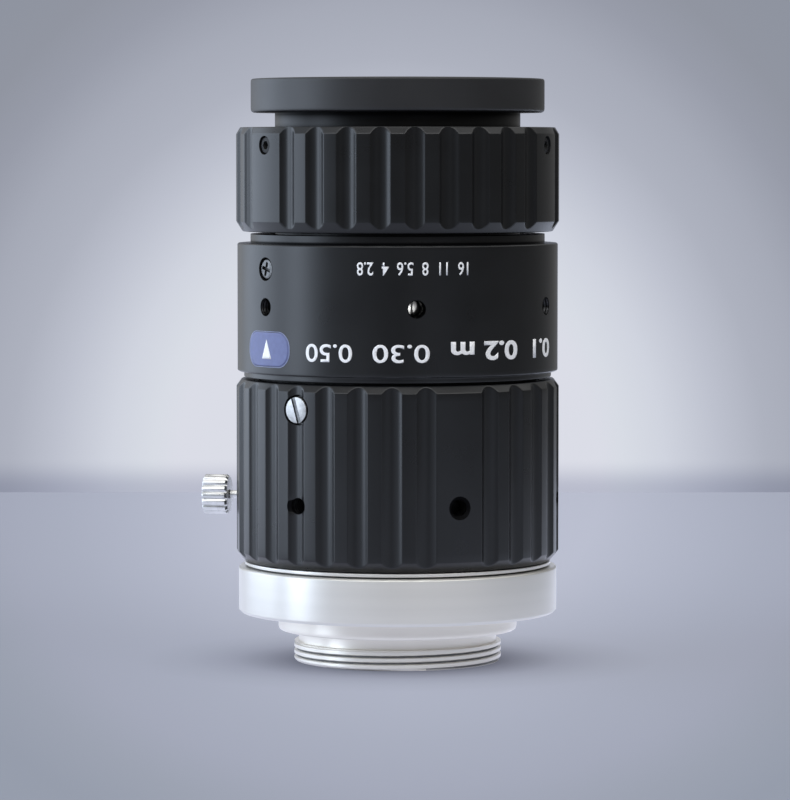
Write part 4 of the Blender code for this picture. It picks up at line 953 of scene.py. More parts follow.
# %% [markdown]
# ## The front barrel
# The rim stands proud of a narrower neck. Inside it is cut with a fine filter thread, and below that
# the bore is stepped down to the first glass with anti-reflection ridges. Both are sawtooth lines
# in the outline, made by a small function.

# %% Sizes of the front barrel
FRONT_NECK_RADIUS = 15.0 * MM
FRONT_FOOT_RADIUS = 15.3 * MM
FRONT_FOOT_TOP = Z_FRONT_FOOT + 1.5 * MM
IRIS_CELL_BORE = 12.9 * MM
IRIS_LEDGE_RADIUS = 9.2 * MM
FRONT_CELL_BORE = 13.2 * MM
FRONT_LEDGE_RADIUS = 11.8 * MM
LENS_LEDGE = 0.4 * MM
FILTER_RADIUS = 16.75 * MM
FILTER_FLOOR = Z_RIM_TOP - 2.5 * MM
FILTER_ENTRY = 0.3 * MM
FILTER_END = FILTER_FLOOR + 0.2 * MM
FILTER_THREAD = (0.22 * MM, 4)
BAFFLE = (0.18 * MM, 5)
BAFFLE_END = 0.4 * MM
RIM_LOW = Z_RIM_TOP - 4.12 * MM
RIM_ROUND = 0.34 * MM
RIM_LOW_BEVEL = 0.5 * MM
FRONT_EDGE = 0.05 * MM
FRONT_COLUMNS = 288
FRONT_NECK_SHADE = (RIM_LOW - 0.3 * MM, RIM_LOW - 1.4 * MM)
print("front rim in mm:", round(RIM_RADIUS / MM, 2))

# %% [markdown]
# The neck under the rim gets the same painted shade, dullest just under the rim.

# %% Front barrel


def sawtooth(radius, ridges, top, low):
    """Outline points of (depth, count) ridges down a bore: out and back, from top to low."""
    depth, count = ridges
    height = np.linspace(top, low, 2 * count + 1)
    out = radius + depth * (np.arange(2 * count + 1) % 2)
    return list(zip(out.tolist(), height.tolist()))


def make_front_barrel():
    """Outer side with a large rounding on the rim, then the bore from the top down."""
    ring_top = heights("front_retaining_ring")[1]
    seat = heights("front_lens_2")[0]
    cell_floor = heights("iris_retainer")[1] + CLEARANCE
    outline = [
        (IRIS_CELL_BORE, Z_FRONT_FOOT), (FRONT_FOOT_RADIUS, Z_FRONT_FOOT),
        (FRONT_FOOT_RADIUS, FRONT_FOOT_TOP), (FRONT_NECK_RADIUS, FRONT_FOOT_TOP),
        (FRONT_NECK_RADIUS, RIM_LOW),
        *soft_corner((RIM_RADIUS - RIM_LOW_BEVEL, RIM_LOW), (RIM_RADIUS, RIM_LOW),
                     (RIM_RADIUS, RIM_LOW + RIM_LOW_BEVEL)),
        *soft_corner((RIM_RADIUS, Z_RIM_TOP - RIM_ROUND), (RIM_RADIUS, Z_RIM_TOP),
                     (RIM_RADIUS - RIM_ROUND, Z_RIM_TOP)),
        (FILTER_RADIUS + FILTER_ENTRY, Z_RIM_TOP),
        *sawtooth(FILTER_RADIUS, FILTER_THREAD, Z_RIM_TOP - FILTER_ENTRY, FILTER_END),
        (FILTER_RADIUS, FILTER_FLOOR),
        *sawtooth(FRONT_CELL_BORE, BAFFLE, FILTER_FLOOR, ring_top + BAFFLE_END),
        (FRONT_CELL_BORE, seat), (FRONT_LEDGE_RADIUS, seat - LENS_LEDGE), (IRIS_LEDGE_RADIUS, cell_floor),
        (IRIS_CELL_BORE, cell_floor),
    ]
    return turned("front_barrel_turned", outline, FRONT_COLUMNS, FRONT_EDGE)


front_barrel = make_front_barrel()
dress(front_barrel, matt_black, "front_barrel", "black_anodised", "front_unit")
# Painted shade on the neck under the rim.
finish_zone(front_barrel, neck_painted_shade("painted_shade_neck_of_front_barrel", FRONT_NECK_SHADE),
            Z_FRONT_FOOT, RIM_LOW - 2 * TOLERANCE)

# %% [markdown]
# ## Screws
# Each screw is a small turned head with a broken edge, and its slot, socket or cross is cut last.
# The walls and the floor of the cut get a darker finish of their own: painted shade.

# %% Screw heads
RIM_DROP = 0.3


def screw_head(name, place, profile, cutters, finish, *dressing):
    """A screw turned from a profile of (radius, distance) along the frame's Z, then cut.

    A flat face closes each end of the profile. Within the radius of the top face, all that lies
    below it gets a second, darker finish, which paints shade on the walls and the floor of the cuts.
    dressing is the solid that the screw stands for, its material slot and its body.
    """
    radius, distance = np.hsplit(np.array(profile, float), 2)
    piece = spun_object(name, place, radius, distance, SCREW_COLUMNS)
    drill(piece, *cutters)
    dress(piece, finish, *dressing)
    # Painted shade: the cut's walls and floor get a darker finish than the head.
    finish_zone(piece, cross_steel if finish is screw_silver else recess_painted_shade,
                -math.inf, distance.max() - 2 * TOLERANCE, outer=radius[-1, 0], place=place)


def head_profile(shank_radius, tip, head_radius, seat, top, edge):
    """Shank from its tip to the seat, then a head with a broken edge."""
    return [(shank_radius, tip), (shank_radius, seat), (head_radius, seat), (head_radius, top - edge),
            (head_radius - RIM_DROP * edge, top - RIM_DROP * edge), (head_radius - edge, top)]


def turn_frame(place, degrees):
    """A frame turned about its own Z."""
    return place @ Matrix.Rotation(math.radians(degrees), 4, "Z")


# %% [markdown]
# The silver screw in the focus ring has a slot at a slant, and the set screws of the iris ring have
# a six-sided socket.

# %% Stop screw and set screws
STOP_TURN = 18.0
STOP_HEAD_RADIUS = 1.57 * MM
STOP_SHANK = 0.6 * MM
STOP_TOP = GRIP_RADIUS - 0.05 * MM
STOP_SEAT = STOP_TOP - 0.8 * MM
STOP_EDGE = 0.1 * MM
STOP_SLOT = (0.6 * MM, 5 * MM, 0.3 * MM)
screw_head("stop_screw_slotted", stop_frame,
           head_profile(STOP_SHANK, RING_BORE, STOP_HEAD_RADIUS, STOP_SEAT, STOP_TOP, STOP_EDGE),
           [box_cutter(turn_frame(stop_frame, STOP_TURN), STOP_SLOT, STOP_TOP)],
           screw_silver, "stop_screw", "bright_metal", "focus_ring")

THREAD_UNDERCUT = 0.03 * MM
GRUB_RADIUS = 1.0 * MM
GRUB_TOP = GRIP_RADIUS - 0.2 * MM
GRUB_EDGE = 0.15 * MM
SOCKET_RADIUS = 0.56 * MM
SOCKET_DEPTH = 0.7 * MM
SOCKET_SIDES = 6
grub_profile = head_profile(GRUB_RADIUS - THREAD_UNDERCUT, RING_BORE, GRUB_RADIUS, RING_BORE + CLEARANCE,
                            GRUB_TOP, GRUB_EDGE)
socket_profile = [(SOCKET_RADIUS, GRUB_TOP - SOCKET_DEPTH), (SOCKET_RADIUS, GRUB_TOP + CUT_PAST)]
for number, place in enumerate(grub_frames, start=1):
    screw_head("grub_screw_%d_socket" % number, place, grub_profile,
               [lathe_cutter([place], socket_profile, SOCKET_SIDES)],
               inner_black, "grub_screw_%d" % number, "blackened_steel", "iris_ring")

# %% [markdown]
# The middle barrel has two cross-recess screws near its top, and deep in three of its holes the
# slotted set screws that hold the helicoid.

# %% Screws of the middle barrel
CROSS_TURN = -15.0
CROSS_RADIUS = 1.2 * MM
CROSS_SHANK = 0.5 * MM
CROSS_TOP = NAME_RADIUS - 0.12 * MM
CROSS_SEAT = CROSS_TOP - 0.75 * MM
CROSS_TIP = 15.8 * MM
CROSS_EDGE = 0.25 * MM
CROSS_ARM = (0.44 * MM, 1.7 * MM, 0.7 * MM)
cross_profile = head_profile(CROSS_SHANK, CROSS_TIP, CROSS_RADIUS, CROSS_SEAT, CROSS_TOP, CROSS_EDGE)
for number, place in enumerate(cross_frames, start=1):
    screw_head("name_screw_%d_cross" % number, place, cross_profile,
               [box_cutter(turn_frame(place, CROSS_TURN + turn), CROSS_ARM, CROSS_TOP) for turn in (0, 90)],
               cross_steel, "name_screw_%d" % number, "blackened_steel", "front_unit")

DEEP_TOP = NAME_RADIUS - 5.2 * MM
DEEP_TIP = 13.1 * MM
DEEP_SEAT = DEEP_TIP + 0.1 * MM
DEEP_RADIUS = 0.95 * MM
DEEP_EDGE = 0.08 * MM
DEEP_SLOT = (0.26 * MM, 3 * MM, 0.5 * MM)
deep_profile = head_profile(DEEP_RADIUS - THREAD_UNDERCUT, DEEP_TIP, DEEP_RADIUS, DEEP_SEAT,
                            DEEP_TOP, DEEP_EDGE)
for number, place in enumerate(deep_frames, start=1):
    screw_head("barrel_set_screw_%d_slotted" % number, place, deep_profile,
               [box_cutter(place, DEEP_SLOT, DEEP_TOP)],
               bright_metal, "barrel_set_screw_%d" % number, "bright_metal", "front_unit")

# %% [markdown]
# ## The thumb screw
# The head has straight knurling: small ridges along its length. Its radius is a rounded wave of
# the angle, and the wave fades out on the two chamfers. The neck behind the head is thin and bright.

# %% Thumb screw
THUMB_AZIMUTH = -98.0
THUMB_RIDGES = 16
RIDGE_COLUMNS = 12
THUMB_RADIUS = 2.45 * MM
THUMB_RIDGE = 0.26 * MM
THUMB_HEAD_LOW = GRIP_RADIUS + 1.2 * MM
THUMB_HEAD_TOP = THUMB_HEAD_LOW + 3.1 * MM
THUMB_SHANK = 0.7 * MM
THUMB_NECK = 0.5 * MM
THUMB_NECK_LOW = GRIP_RADIUS - 0.3 * MM
THUMB_TIP = 17.3 * MM


def make_thumb_screw():
    """Rows of (radius, distance, knurl): neck, back face, head with chamfers and the end face."""
    rows = np.array([
        (THUMB_NECK, THUMB_TIP, 0), (THUMB_SHANK, THUMB_TIP + 0.2 * MM, 0), (THUMB_SHANK, THUMB_NECK_LOW, 0),
        (THUMB_NECK, THUMB_NECK_LOW + 0.2 * MM, 0), (THUMB_NECK, THUMB_HEAD_LOW - 0.1 * MM, 0),
        (THUMB_NECK + 0.1 * MM, THUMB_HEAD_LOW, 0),
        (THUMB_RADIUS - THUMB_RIDGE, THUMB_HEAD_LOW, 0), (THUMB_RADIUS, THUMB_HEAD_LOW + THUMB_RIDGE, 1),
        (THUMB_RADIUS, THUMB_HEAD_TOP - 0.16 * MM, 1),
        (THUMB_RADIUS - 0.12 * MM, THUMB_HEAD_TOP - 0.02 * MM, 0.7),
        (THUMB_RADIUS - THUMB_RIDGE, THUMB_HEAD_TOP, 0.2),
        (THUMB_RADIUS - 0.5 * MM, THUMB_HEAD_TOP, 0), (0.1 * MM, THUMB_HEAD_TOP, 0),
    ])
    columns = THUMB_RIDGES * RIDGE_COLUMNS
    valley = (0.5 - 0.5 * np.cos(full_turn(columns) * THUMB_RIDGES)) ** 3
    radius = rows[:, 0:1] - THUMB_RIDGE * rows[:, 2:3] * valley
    place = radial_frame(THUMB_AZIMUTH, FOCUS_HOLE_HEIGHT)
    return shade(spun_object("thumb_screw_knurled", place, radius, rows[:, 1:2], columns), angle=40.0)


dress(make_thumb_screw(), knurl_metal, "thumb_screw", "bright_metal", "lock_screw")

# %% [markdown]
# ## Glass
# The front element is a meniscus with spherical faces. Its outline is two circular arcs inside flat
# seats, turned in fine steps, so that reflections run smoothly across it.

# %% Front and rear elements
LENS_SEAT = 1.4 * MM
LENS_COLUMNS = 160
ARC_POINTS = 24
POLE_RADIUS = 0.002 * MM


def arc_rows(clear, base, bulge, outward):
    """Points of a spherical face from the axis to its rim, or back, at a bulge over the base height.

    The radius of a sphere with that bulge over a clear radius c is (c^2 + bulge^2) / (2 * |bulge|).
    """
    share = np.linspace(0.0, 1.0, ARC_POINTS)[::1 if outward else -1]
    sphere = (clear ** 2 + bulge ** 2) / (2 * abs(bulge))
    rise = np.sqrt(sphere ** 2 - (clear * share) ** 2) - (sphere - abs(bulge))
    return np.stack([clear * share, base + np.sign(bulge) * rise], axis=1)


def lens_piece(name, node, low, edge, low_bulge, top_bulge):
    """A lens from its edge thickness and the two bulges; a bulge is measured outwards."""
    radius = outer_radius(node)
    clear = radius - LENS_SEAT
    outline = np.concatenate([
        arc_rows(clear, low, -low_bulge, True), [(radius, low), (radius, low + edge)],
        arc_rows(clear, low + edge, top_bulge, False)])
    outline[0, 0] = outline[-1, 0] = POLE_RADIUS
    points = turn_points(outline[:, 0:1], outline[:, 1:2], full_turn(LENS_COLUMNS))
    piece = shade(grid_object(name, points, close_rows=False, caps=True), angle=25.0)
    dress(piece, front_glass, node, "coated_glass", "front_unit")


lens_piece("front_element", "front_lens_1", heights("front_spacer")[1] + CLEARANCE,
           1.5 * MM, -1.2 * MM, 1.9 * MM)
lens_piece("rear_element", "rear_lens_5", heights("rear_lens_5")[0] + 0.5 * MM,
           3.0 * MM, 0.5 * MM, -0.6 * MM)

# %% [markdown]
# The retaining rings are turned smooth again, each with two spanner slots.

# %% Retaining rings
TUBE_COLUMNS = 200
RING_WALL = 1.2 * MM
RING_SLOPE = 0.5 * MM
SPANNER_SLOT = (1.0 * MM, 1.2 * MM)


def retaining_ring(name, node, face_up):
    """A ring with a bevelled bore and two slots across the face that can be reached."""
    low, high = heights(node)
    radius = outer_radius(node)
    bore = radius - RING_WALL
    if face_up:
        bevel = [(bore, low), (bore + RING_SLOPE, high), (bore, high - RING_SLOPE)]
    else:
        bevel = [(bore + RING_SLOPE, low), (bore, high), (bore, low + RING_SLOPE)]
    piece = turned(name, [bevel[0], (radius, low), (radius, high), *bevel[1:]], TUBE_COLUMNS)
    drill(piece, box_cutter(Matrix(), (3 * radius, *SPANNER_SLOT), high if face_up else low))
    dress(piece, inner_black, node, "inner_black", "front_unit")


retaining_ring("front_ring_turned", "front_retaining_ring", True)
retaining_ring("rear_ring_turned", "rear_retaining_ring", False)

# %% [markdown]
# The rear of the lens barrel can be seen inside the mount, so its open end is turned again too.
# The faceted solid behind it stays hidden in the dark bore.

# %% Lens barrel
REAR_BORE = 9.2 * MM
REAR_RADIUS = 10.4 * MM
TUBE_RADIUS = 12.8 * MM
TUBE_FLANGE_RADIUS = 15.3 * MM
SPIGOT_RADIUS = 12.6 * MM
TUBE_TOP_BORE = 11.1 * MM
TUBE_BORE = 9.5 * MM
CELL_LEDGE_RADIUS = 7.8 * MM
CELL_LEDGE = 1.3 * MM
SHELF_SLOPE = 1.4 * MM


def make_lens_barrel():
    """The stepped tube of the rear group, from the rear cell up to the spigot under the iris."""
    low, high = heights("lens_barrel")
    cell = high - 29.3 * MM
    shelf = high - 28.2 * MM
    flange = high - 2.8 * MM
    spigot = high - 1.3 * MM
    ledge_low = heights("rear_lens_5")[1] + CLEARANCE
    ledge_top = heights("rear_lens_5")[1] + CELL_LEDGE
    outline = [(REAR_BORE, low), (REAR_RADIUS, low), (REAR_RADIUS, cell), (TUBE_RADIUS, cell),
               (TUBE_RADIUS, flange), (TUBE_FLANGE_RADIUS, flange), (TUBE_FLANGE_RADIUS, spigot),
               (SPIGOT_RADIUS, spigot), (SPIGOT_RADIUS, high), (TUBE_TOP_BORE, high),
               (TUBE_TOP_BORE, shelf + SHELF_SLOPE), (TUBE_BORE, shelf), (TUBE_BORE, ledge_top),
               (CELL_LEDGE_RADIUS, ledge_top), (CELL_LEDGE_RADIUS, ledge_low), (REAR_BORE, ledge_low)]
    return turned("lens_barrel_turned", outline, TUBE_COLUMNS)


dress(make_lens_barrel(), inner_black, "lens_barrel", "inner_black", "front_unit")

# %% [markdown]
# ## Figures and badge
# The barrel carries white figures in two rows and a plain violet badge. The figures are generic dial
# numbers. They stand upside down here, because they are read with the camera side up. Each figure
# starts as flat text, is sliced every third of a millimetre and is then wrapped round the cylinder.

# %% Wrapped figures
INK_LIFT = 0.012 * MM
INK_THICKNESS = 0.01 * MM
SLICE = 0.3 * MM
SLICE_REACH = 1e-7


def print_on_barrel(piece, azimuth, height, finish):
    """Roll a flat piece upside down round the barrel and give it the thickness of ink.

    x becomes an arc length and y a height, both from a middle at the azimuth and the height.
    """
    flat = corners_of(piece.data)
    points = turn_points(NAME_RADIUS + INK_LIFT + flat[:, 2], height - flat[:, 1],
                         math.radians(azimuth) - flat[:, 0] / NAME_RADIUS)
    piece.data.vertices.foreach_set("co", points.ravel())
    piece.data.update()
    piece.data.materials.clear()
    piece.data.materials.append(finish)
    ink = piece.modifiers.new("ink", "SOLIDIFY")
    ink.thickness = INK_THICKNESS
    ink.offset = 0.0
    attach(piece, "front_unit")


def flat_text(name, text, heavy):
    """The mesh of a line of text; heavy thickens its strokes."""
    curve = bpy.data.curves.new(name, "FONT")
    curve.body = text
    curve.offset = heavy
    curve.align_x = "CENTER"
    source = add_object(name + "_flat", curve)
    mesh = applied_mesh(source)
    bpy.data.objects.remove(source)
    return mesh


def figure(name, text, azimuth, height, tall, wide, heavy):
    """A line of figures as a thin printed mesh, centred on an azimuth and a height.

    tall is the height of a figure and wide the width of the whole line, both in metres.
    """
    mesh = flat_text(name, text, heavy)
    flat = corners_of(mesh)
    low, high = flat.min(axis=0), flat.max(axis=0)
    flat = (flat - (low + high) / 2) * (wide / (high[0] - low[0]), tall / (high[1] - low[1]), 0.0)
    mesh.vertices.foreach_set("co", flat.ravel())
    bm = bmesh.new()
    bm.from_mesh(mesh)
    for cut in np.arange(-wide / 2 + SLICE, wide / 2, SLICE):
        geometry = bm.verts[:] + bm.edges[:] + bm.faces[:]
        bmesh.ops.bisect_plane(bm, geom=geometry, plane_co=(cut, 0, 0), plane_no=(1, 0, 0), dist=SLICE_REACH)
    bm.to_mesh(mesh)
    bm.free()
    print_on_barrel(add_object(name, mesh), azimuth, height, white_ink)


figure("scale_upper", "16  11  8  5.6  4  2.8", 5.5, 44.68 * MM, 1.58 * MM, 13.5 * MM, 0.01)
figure("scale_low_1", "0.50", -24.9, 34.65 * MM, 2.15 * MM, 6.1 * MM, 0.01)
figure("scale_low_2", "0.30", 1.2, 34.65 * MM, 2.15 * MM, 6.8 * MM, 0.01)
figure("scale_low_3", "0.1  0.2 m", 43.9, 34.9 * MM, 2.3 * MM, 17.2 * MM, 0.03)
print("figures printed")

# %% [markdown]
# The badge is a rounded rectangle with a thin paler line round it and a white index triangle. It has
# four quarter circles at its corners, and rings of points between its middle and its border let it
# bend with the barrel.

# %% Badge
BADGE_AZIMUTH = -53.3
BADGE_HEIGHT = 34.85 * MM
BADGE_WIDE = 8.4 * MM
BADGE_TALL = 4.34 * MM
BADGE_CORNER = 1.95 * MM
BADGE_LINE = 0.14 * MM
BADGE_RINGS = np.linspace(0.002, 1.0, 12)
LINE_RINGS = np.array([0.965, 1.0])
CORNER_POINTS = 13
SIDE_POINTS = 18
INDEX_WIDE = 1.9 * MM
INDEX_TALL = 2.3 * MM
INDEX_TAPER = 0.98
INDEX_GRID = (8, 6)


def badge_piece(name, points, finish, close_columns=True):
    """A grid of flat points, printed on the barrel at the badge's place."""
    piece = grid_object(name, points, close_rows=False, close_columns=close_columns)
    print_on_barrel(piece, BADGE_AZIMUTH, BADGE_HEIGHT, finish)
    shade(piece)


def rounded_rectangle(inset, shares):
    """Rings of points from one share of the badge's outline to the next.

    The outline is the corner circle's point plus the core's corner in that quarter.
    """
    corner = BADGE_CORNER - inset
    core = np.array([BADGE_WIDE / 2 - BADGE_CORNER, BADGE_TALL / 2 - BADGE_CORNER])
    edge = []
    for quarter, sign in enumerate(((1, 1), (-1, 1), (-1, -1), (1, -1))):
        angle = np.linspace(0, math.pi / 2, CORNER_POINTS) + quarter * math.pi / 2
        edge.append(corner * np.stack([np.cos(angle), np.sin(angle)], axis=1) + core * sign)
        if quarter % 2 == 0:
            across = np.linspace(sign[0], -sign[0], SIDE_POINTS)[1:-1, None] * core * (1, 0)
            edge.append(across + (0, sign[1] * (core[1] + corner)))
    flat = np.concatenate(edge)[None, :, :] * shares[:, None, None]
    return np.concatenate([flat, np.zeros_like(flat[:, :, :1])], axis=2)


badge_piece("badge_field", rounded_rectangle(BADGE_LINE, BADGE_RINGS), violet_ink)
badge_piece("badge_line", rounded_rectangle(0.0, LINE_RINGS), pale_ink)
index_rows = np.linspace(0.0, 1.0, INDEX_GRID[0])[:, None]
index_x = INDEX_WIDE * np.linspace(-0.5, 0.5, INDEX_GRID[1])[None, :] * (1 - INDEX_TAPER * index_rows)
index_y = INDEX_TALL * (0.5 - index_rows)
index_points = np.stack(np.broadcast_arrays(index_x, index_y, INK_LIFT), axis=2)
badge_piece("badge_index", index_points, white_ink, close_columns=False)
print("badge printed")

# %% [markdown]
# ## What is left
# The pieces inside keep their solids and only get a finish: dull black for tubes and spacers,
# blackened steel for the blades, glass for the inner elements and bright metal for the small parts.

# %% Finishes of the inner pieces
INNER_FINISHES = {
    "inner_black": inner_black,
    "black_anodised": satin_black,
    "silver_anodised": turned_silver,
    "blackened_steel": dark_steel,
    "bright_metal": bright_metal,
    "coated_glass": inner_glass,
}
NODE_FINISHES = {"iris_cam_ring": dark_steel}
slot_of = {row["node"]: row["material_slot"] for row in frame["record"]["subparts"]}
for name, node in nodes.items():
    finish = NODE_FINISHES.get(name, INNER_FINISHES[slot_of[name]])
    if not node.material_slots:
        node.data.materials.append(finish)
    for place in node.material_slots:
        place.material = finish
print("inner finishes set on", len(nodes), "nodes")

# %% [markdown]
# ## Floor, backdrop and light
# The lens stands on a pale matt table in front of a pale wall with a painted pool of light, brightest low in
# the middle.
# Both are only as large as the picture needs, so that the lens reflects the room and not them. Near
# the table the wall darkens to the table's own colour, which leaves no hard line across the picture.

# %% Stage helpers
WHITE = (1.0, 1.0, 1.0)


def grey(value):
    """A colour of one brightness."""
    return (value, value, value)


def ramp_of(tree, factor, stops):
    """A linear ColorRamp from (position, colour) stops; gives the colour socket."""
    ramp = tree.nodes.new("ShaderNodeValToRGB")
    marks = ramp.color_ramp.elements
    while len(marks) < len(stops):
        marks.new(0.5)
    for mark, (position, colour) in zip(marks, stops):
        mark.position = position
        mark.color = (*colour, 1.0)
    tree.links.new(factor, ramp.inputs["Fac"])
    return ramp.outputs["Color"]


def dome_ramp(tree, centre, scale, stops):
    """Colours by the distance from a centre, with a scale per axis; gives the colour socket."""
    place = tree.nodes.new("ShaderNodeTexCoord")
    fit = tree.nodes.new("ShaderNodeMapping")
    fit.vector_type = "POINT"
    fit.inputs["Scale"].default_value = scale
    fit.inputs["Location"].default_value = tuple(-a * b for a, b in zip(centre, scale))
    tree.links.new(place.outputs["Object"], fit.inputs["Vector"])
    length = tree.nodes.new("ShaderNodeVectorMath")
    length.operation = "LENGTH"
    tree.links.new(fit.outputs["Vector"], length.inputs[0])
    return ramp_of(tree, length.outputs["Value"], stops)


def clear_from_behind(made):
    """Let a stage surface vanish where it is seen from its back, so that no side of the lens is hidden."""
    tree = made.node_tree
    leave = tree.nodes["Material Output"].inputs["Surface"]
    solid = leave.links[0].from_socket
    facing = tree.nodes.new("ShaderNodeNewGeometry")
    clear = tree.nodes.new("ShaderNodeBsdfTransparent")
    either = tree.nodes.new("ShaderNodeMixShader")
    tree.links.new(facing.outputs["Backfacing"], either.inputs["Fac"])
    tree.links.new(solid, either.inputs[1])
    tree.links.new(clear.outputs["BSDF"], either.inputs[2])
    tree.links.new(either.outputs["Shader"], leave)
    return made


def stage_plane(name, half, near, far, finish):
    """A quad of the stage, twice half wide, between two edges that are given by their (y, z)."""
    mesh = bpy.data.meshes.new(name)
    mesh.from_pydata([(-half, *near), (half, *near), (half, *far), (-half, *far)], [], [(0, 1, 2, 3)])
    made = add_object(name, mesh)
    made.data.materials.append(finish)


# %% [markdown]
# The table's colour holds a painted pool of light, laid out as the camera sees it: palest at the middle
# of its far edge and darker evenly to all sides. Under the lens a contact shadow is painted in. It glows
# a little, painted light, so that shadows on it stay faint. It glows more strongly in what the lens reflects
# of it, to the sides and close by, which is a painted reflection.

# %% Table
TABLE_HALF = 0.2
TABLE_FRONT = -0.32
TABLE_BACK = 0.26
TABLE_TOP = Z_REAR - 2 * TOLERANCE
TABLE_AIM = (0.004, 0.0764)
TABLE_SCALE = (6.69, 8.96)
TABLE_LIGHT_POOL = [(0.3, (0.201, 0.209, 0.248)), (0.385, (0.185, 0.194, 0.232)), (0.46, (0.173, 0.182, 0.219)),
               (0.55, (0.16, 0.169, 0.204)), (0.65, (0.15, 0.158, 0.192)), (0.75, (0.134, 0.144, 0.172)),
               (0.85, (0.122, 0.133, 0.16))]
CONTACT_SHADE = [(0.3175, (0.5, 0.5, 0.52)), (0.35, (0.59, 0.59, 0.61)), (0.425, (0.74, 0.74, 0.75)),
                 (0.5, (0.83, 0.83, 0.84)), (0.65, grey(0.94)), (0.8, WHITE)]
SIDE_GLOW = [(0.1, grey(0.25)), (0.3, grey(0.35)), (0.6, grey(0.65)), (1.0, grey(0.75))]
NEAR_GLOW = [(0.4, WHITE), (0.9, grey(0.0))]
LENS_FOOT = (0.0, 0.0, Z_REAR)
ROUND_SCALE = (25.0, 25.0, 0.0)
SIDE_SCALE = (10.0, 0.0, 0.0)
TABLE_GLOW = 1.28
SIDE_LIFT = 7.0
NEAR_LIFT = 3.5


def table_spread(tree):
    """How far a point of the table is from the middle of its far edge, as it is seen from the camera.

    With d the distance from the camera and h its height over the table, the value is
    sqrt((wide * (x / d - aim_x))^2 + (tall * (h / d - aim_down))^2).
    """
    x, y, _ = place_parts(tree)
    distance = math_node(tree, "ADD", y, CAMERA_DISTANCE)
    squares = []
    for top, aim, scale in zip((x, CAMERA_HEIGHT - Z_REAR), TABLE_AIM, TABLE_SCALE):
        off = math_node(tree, "SUBTRACT", math_node(tree, "DIVIDE", top, distance), aim)
        squares.append(math_node(tree, "POWER", math_node(tree, "MULTIPLY", off, scale), 2.0))
    return math_node(tree, "SQRT", math_node(tree, "ADD", *squares))


def table_material():
    """Matt pale sheet with a painted pool of light and a painted contact shadow, whose glow is lifted for
    glossy rays.
    """
    made, tree, shader = new_material("pale_table")
    # Painted pool of light, then a painted contact shadow round the lens's foot.
    plain = ramp_of(tree, table_spread(tree), TABLE_LIGHT_POOL)
    colour = mix_colours(tree, 1.0, plain, dome_ramp(tree, LENS_FOOT, ROUND_SCALE, CONTACT_SHADE), "MULTIPLY")
    path = tree.nodes.new("ShaderNodeLightPath")
    # Glow lifted only for glossy rays: a painted reflection of the table in the lens.
    aside = math_node(tree, "MULTIPLY", dome_ramp(tree, LENS_FOOT, SIDE_SCALE, SIDE_GLOW), SIDE_LIFT)
    near = math_node(tree, "MULTIPLY", dome_ramp(tree, LENS_FOOT, ROUND_SCALE, NEAR_GLOW), NEAR_LIFT)
    lift = math_node(tree, "MULTIPLY", math_node(tree, "ADD", aside, near), path.outputs["Is Glossy Ray"])
    for label, value in {
        "Base Color": colour, "Emission Color": colour, "Roughness": 0.9, "IOR": 1.1,
        "Emission Strength": math_node(tree, "ADD", lift, TABLE_GLOW),
    }.items():
        feed(tree, shader.inputs[label], value)
    return clear_from_behind(made)


stage_plane("table", TABLE_HALF, (TABLE_FRONT, TABLE_TOP), (TABLE_BACK, TABLE_TOP), table_material())
print("table top in mm:", round(TABLE_TOP / MM, 2))

# %% [markdown]
# The wall glows softly on an oval ramp, a painted pool of light, and dims along its foot to the table's
# brightness.

# %% Wall
WALL_Y = 0.32
WALL_HALF = 0.11
WALL_LOW = -0.03
WALL_TOP = 0.2
WALL_CENTRE = (-0.0017, 0.0, -0.0062)
WALL_SCALE = (8.83, 0.0, 7.93)
WALL_LIGHT_POOL = [(0.369, (0.708, 0.723, 0.799)), (0.41, (0.687, 0.716, 0.784)), (0.483, (0.631, 0.658, 0.738)),
              (0.58, (0.509, 0.533, 0.617)), (0.658, (0.423, 0.445, 0.521)), (0.744, (0.381, 0.402, 0.474)),
              (0.83, (0.314, 0.332, 0.397)), (0.906, (0.283, 0.301, 0.356)), (0.99, (0.275, 0.296, 0.352))]
WALL_FOOT = (0.69, 0.70, 0.76)
FOOT_HEIGHTS = (-0.0082, -0.0018)


def wall_material():
    """An emission shader with the oval ramp, a painted pool of light, times the dimming of the foot."""
    made, tree, shader = new_material("pale_wall")
    tree.nodes.remove(shader)
    foot = map_range(tree, place_parts(tree)[2], FOOT_HEIGHTS, kind="SMOOTHSTEP")
    dimming = mix_colours(tree, foot, WALL_FOOT, WHITE)
    # Painted pool of light on the wall.
    oval = dome_ramp(tree, WALL_CENTRE, WALL_SCALE, WALL_LIGHT_POOL)
    glow = tree.nodes.new("ShaderNodeEmission")
    tree.links.new(mix_colours(tree, 1.0, oval, dimming, "MULTIPLY"), glow.inputs["Color"])
    tree.links.new(glow.outputs[0], tree.nodes["Material Output"].inputs["Surface"])
    return clear_from_behind(made)


stage_plane("wall", WALL_HALF, (WALL_Y, WALL_LOW), (WALL_Y, WALL_TOP), wall_material())
print("stage set")

# %% [markdown]
# A narrow lamp stands in front, and its light falls through the deep hole that faces the camera. It
# makes the slotted set screw at the bottom of that hole shine.

# %% Lamp for the deep screw
LAMP_DISTANCE = 0.12
LAMP_TURN = 11.0
LAMP_DROP = -0.05
LAMP_ENERGY = 0.07
LAMP_CONE = 1.0
LAMP_BLEND = 0.3

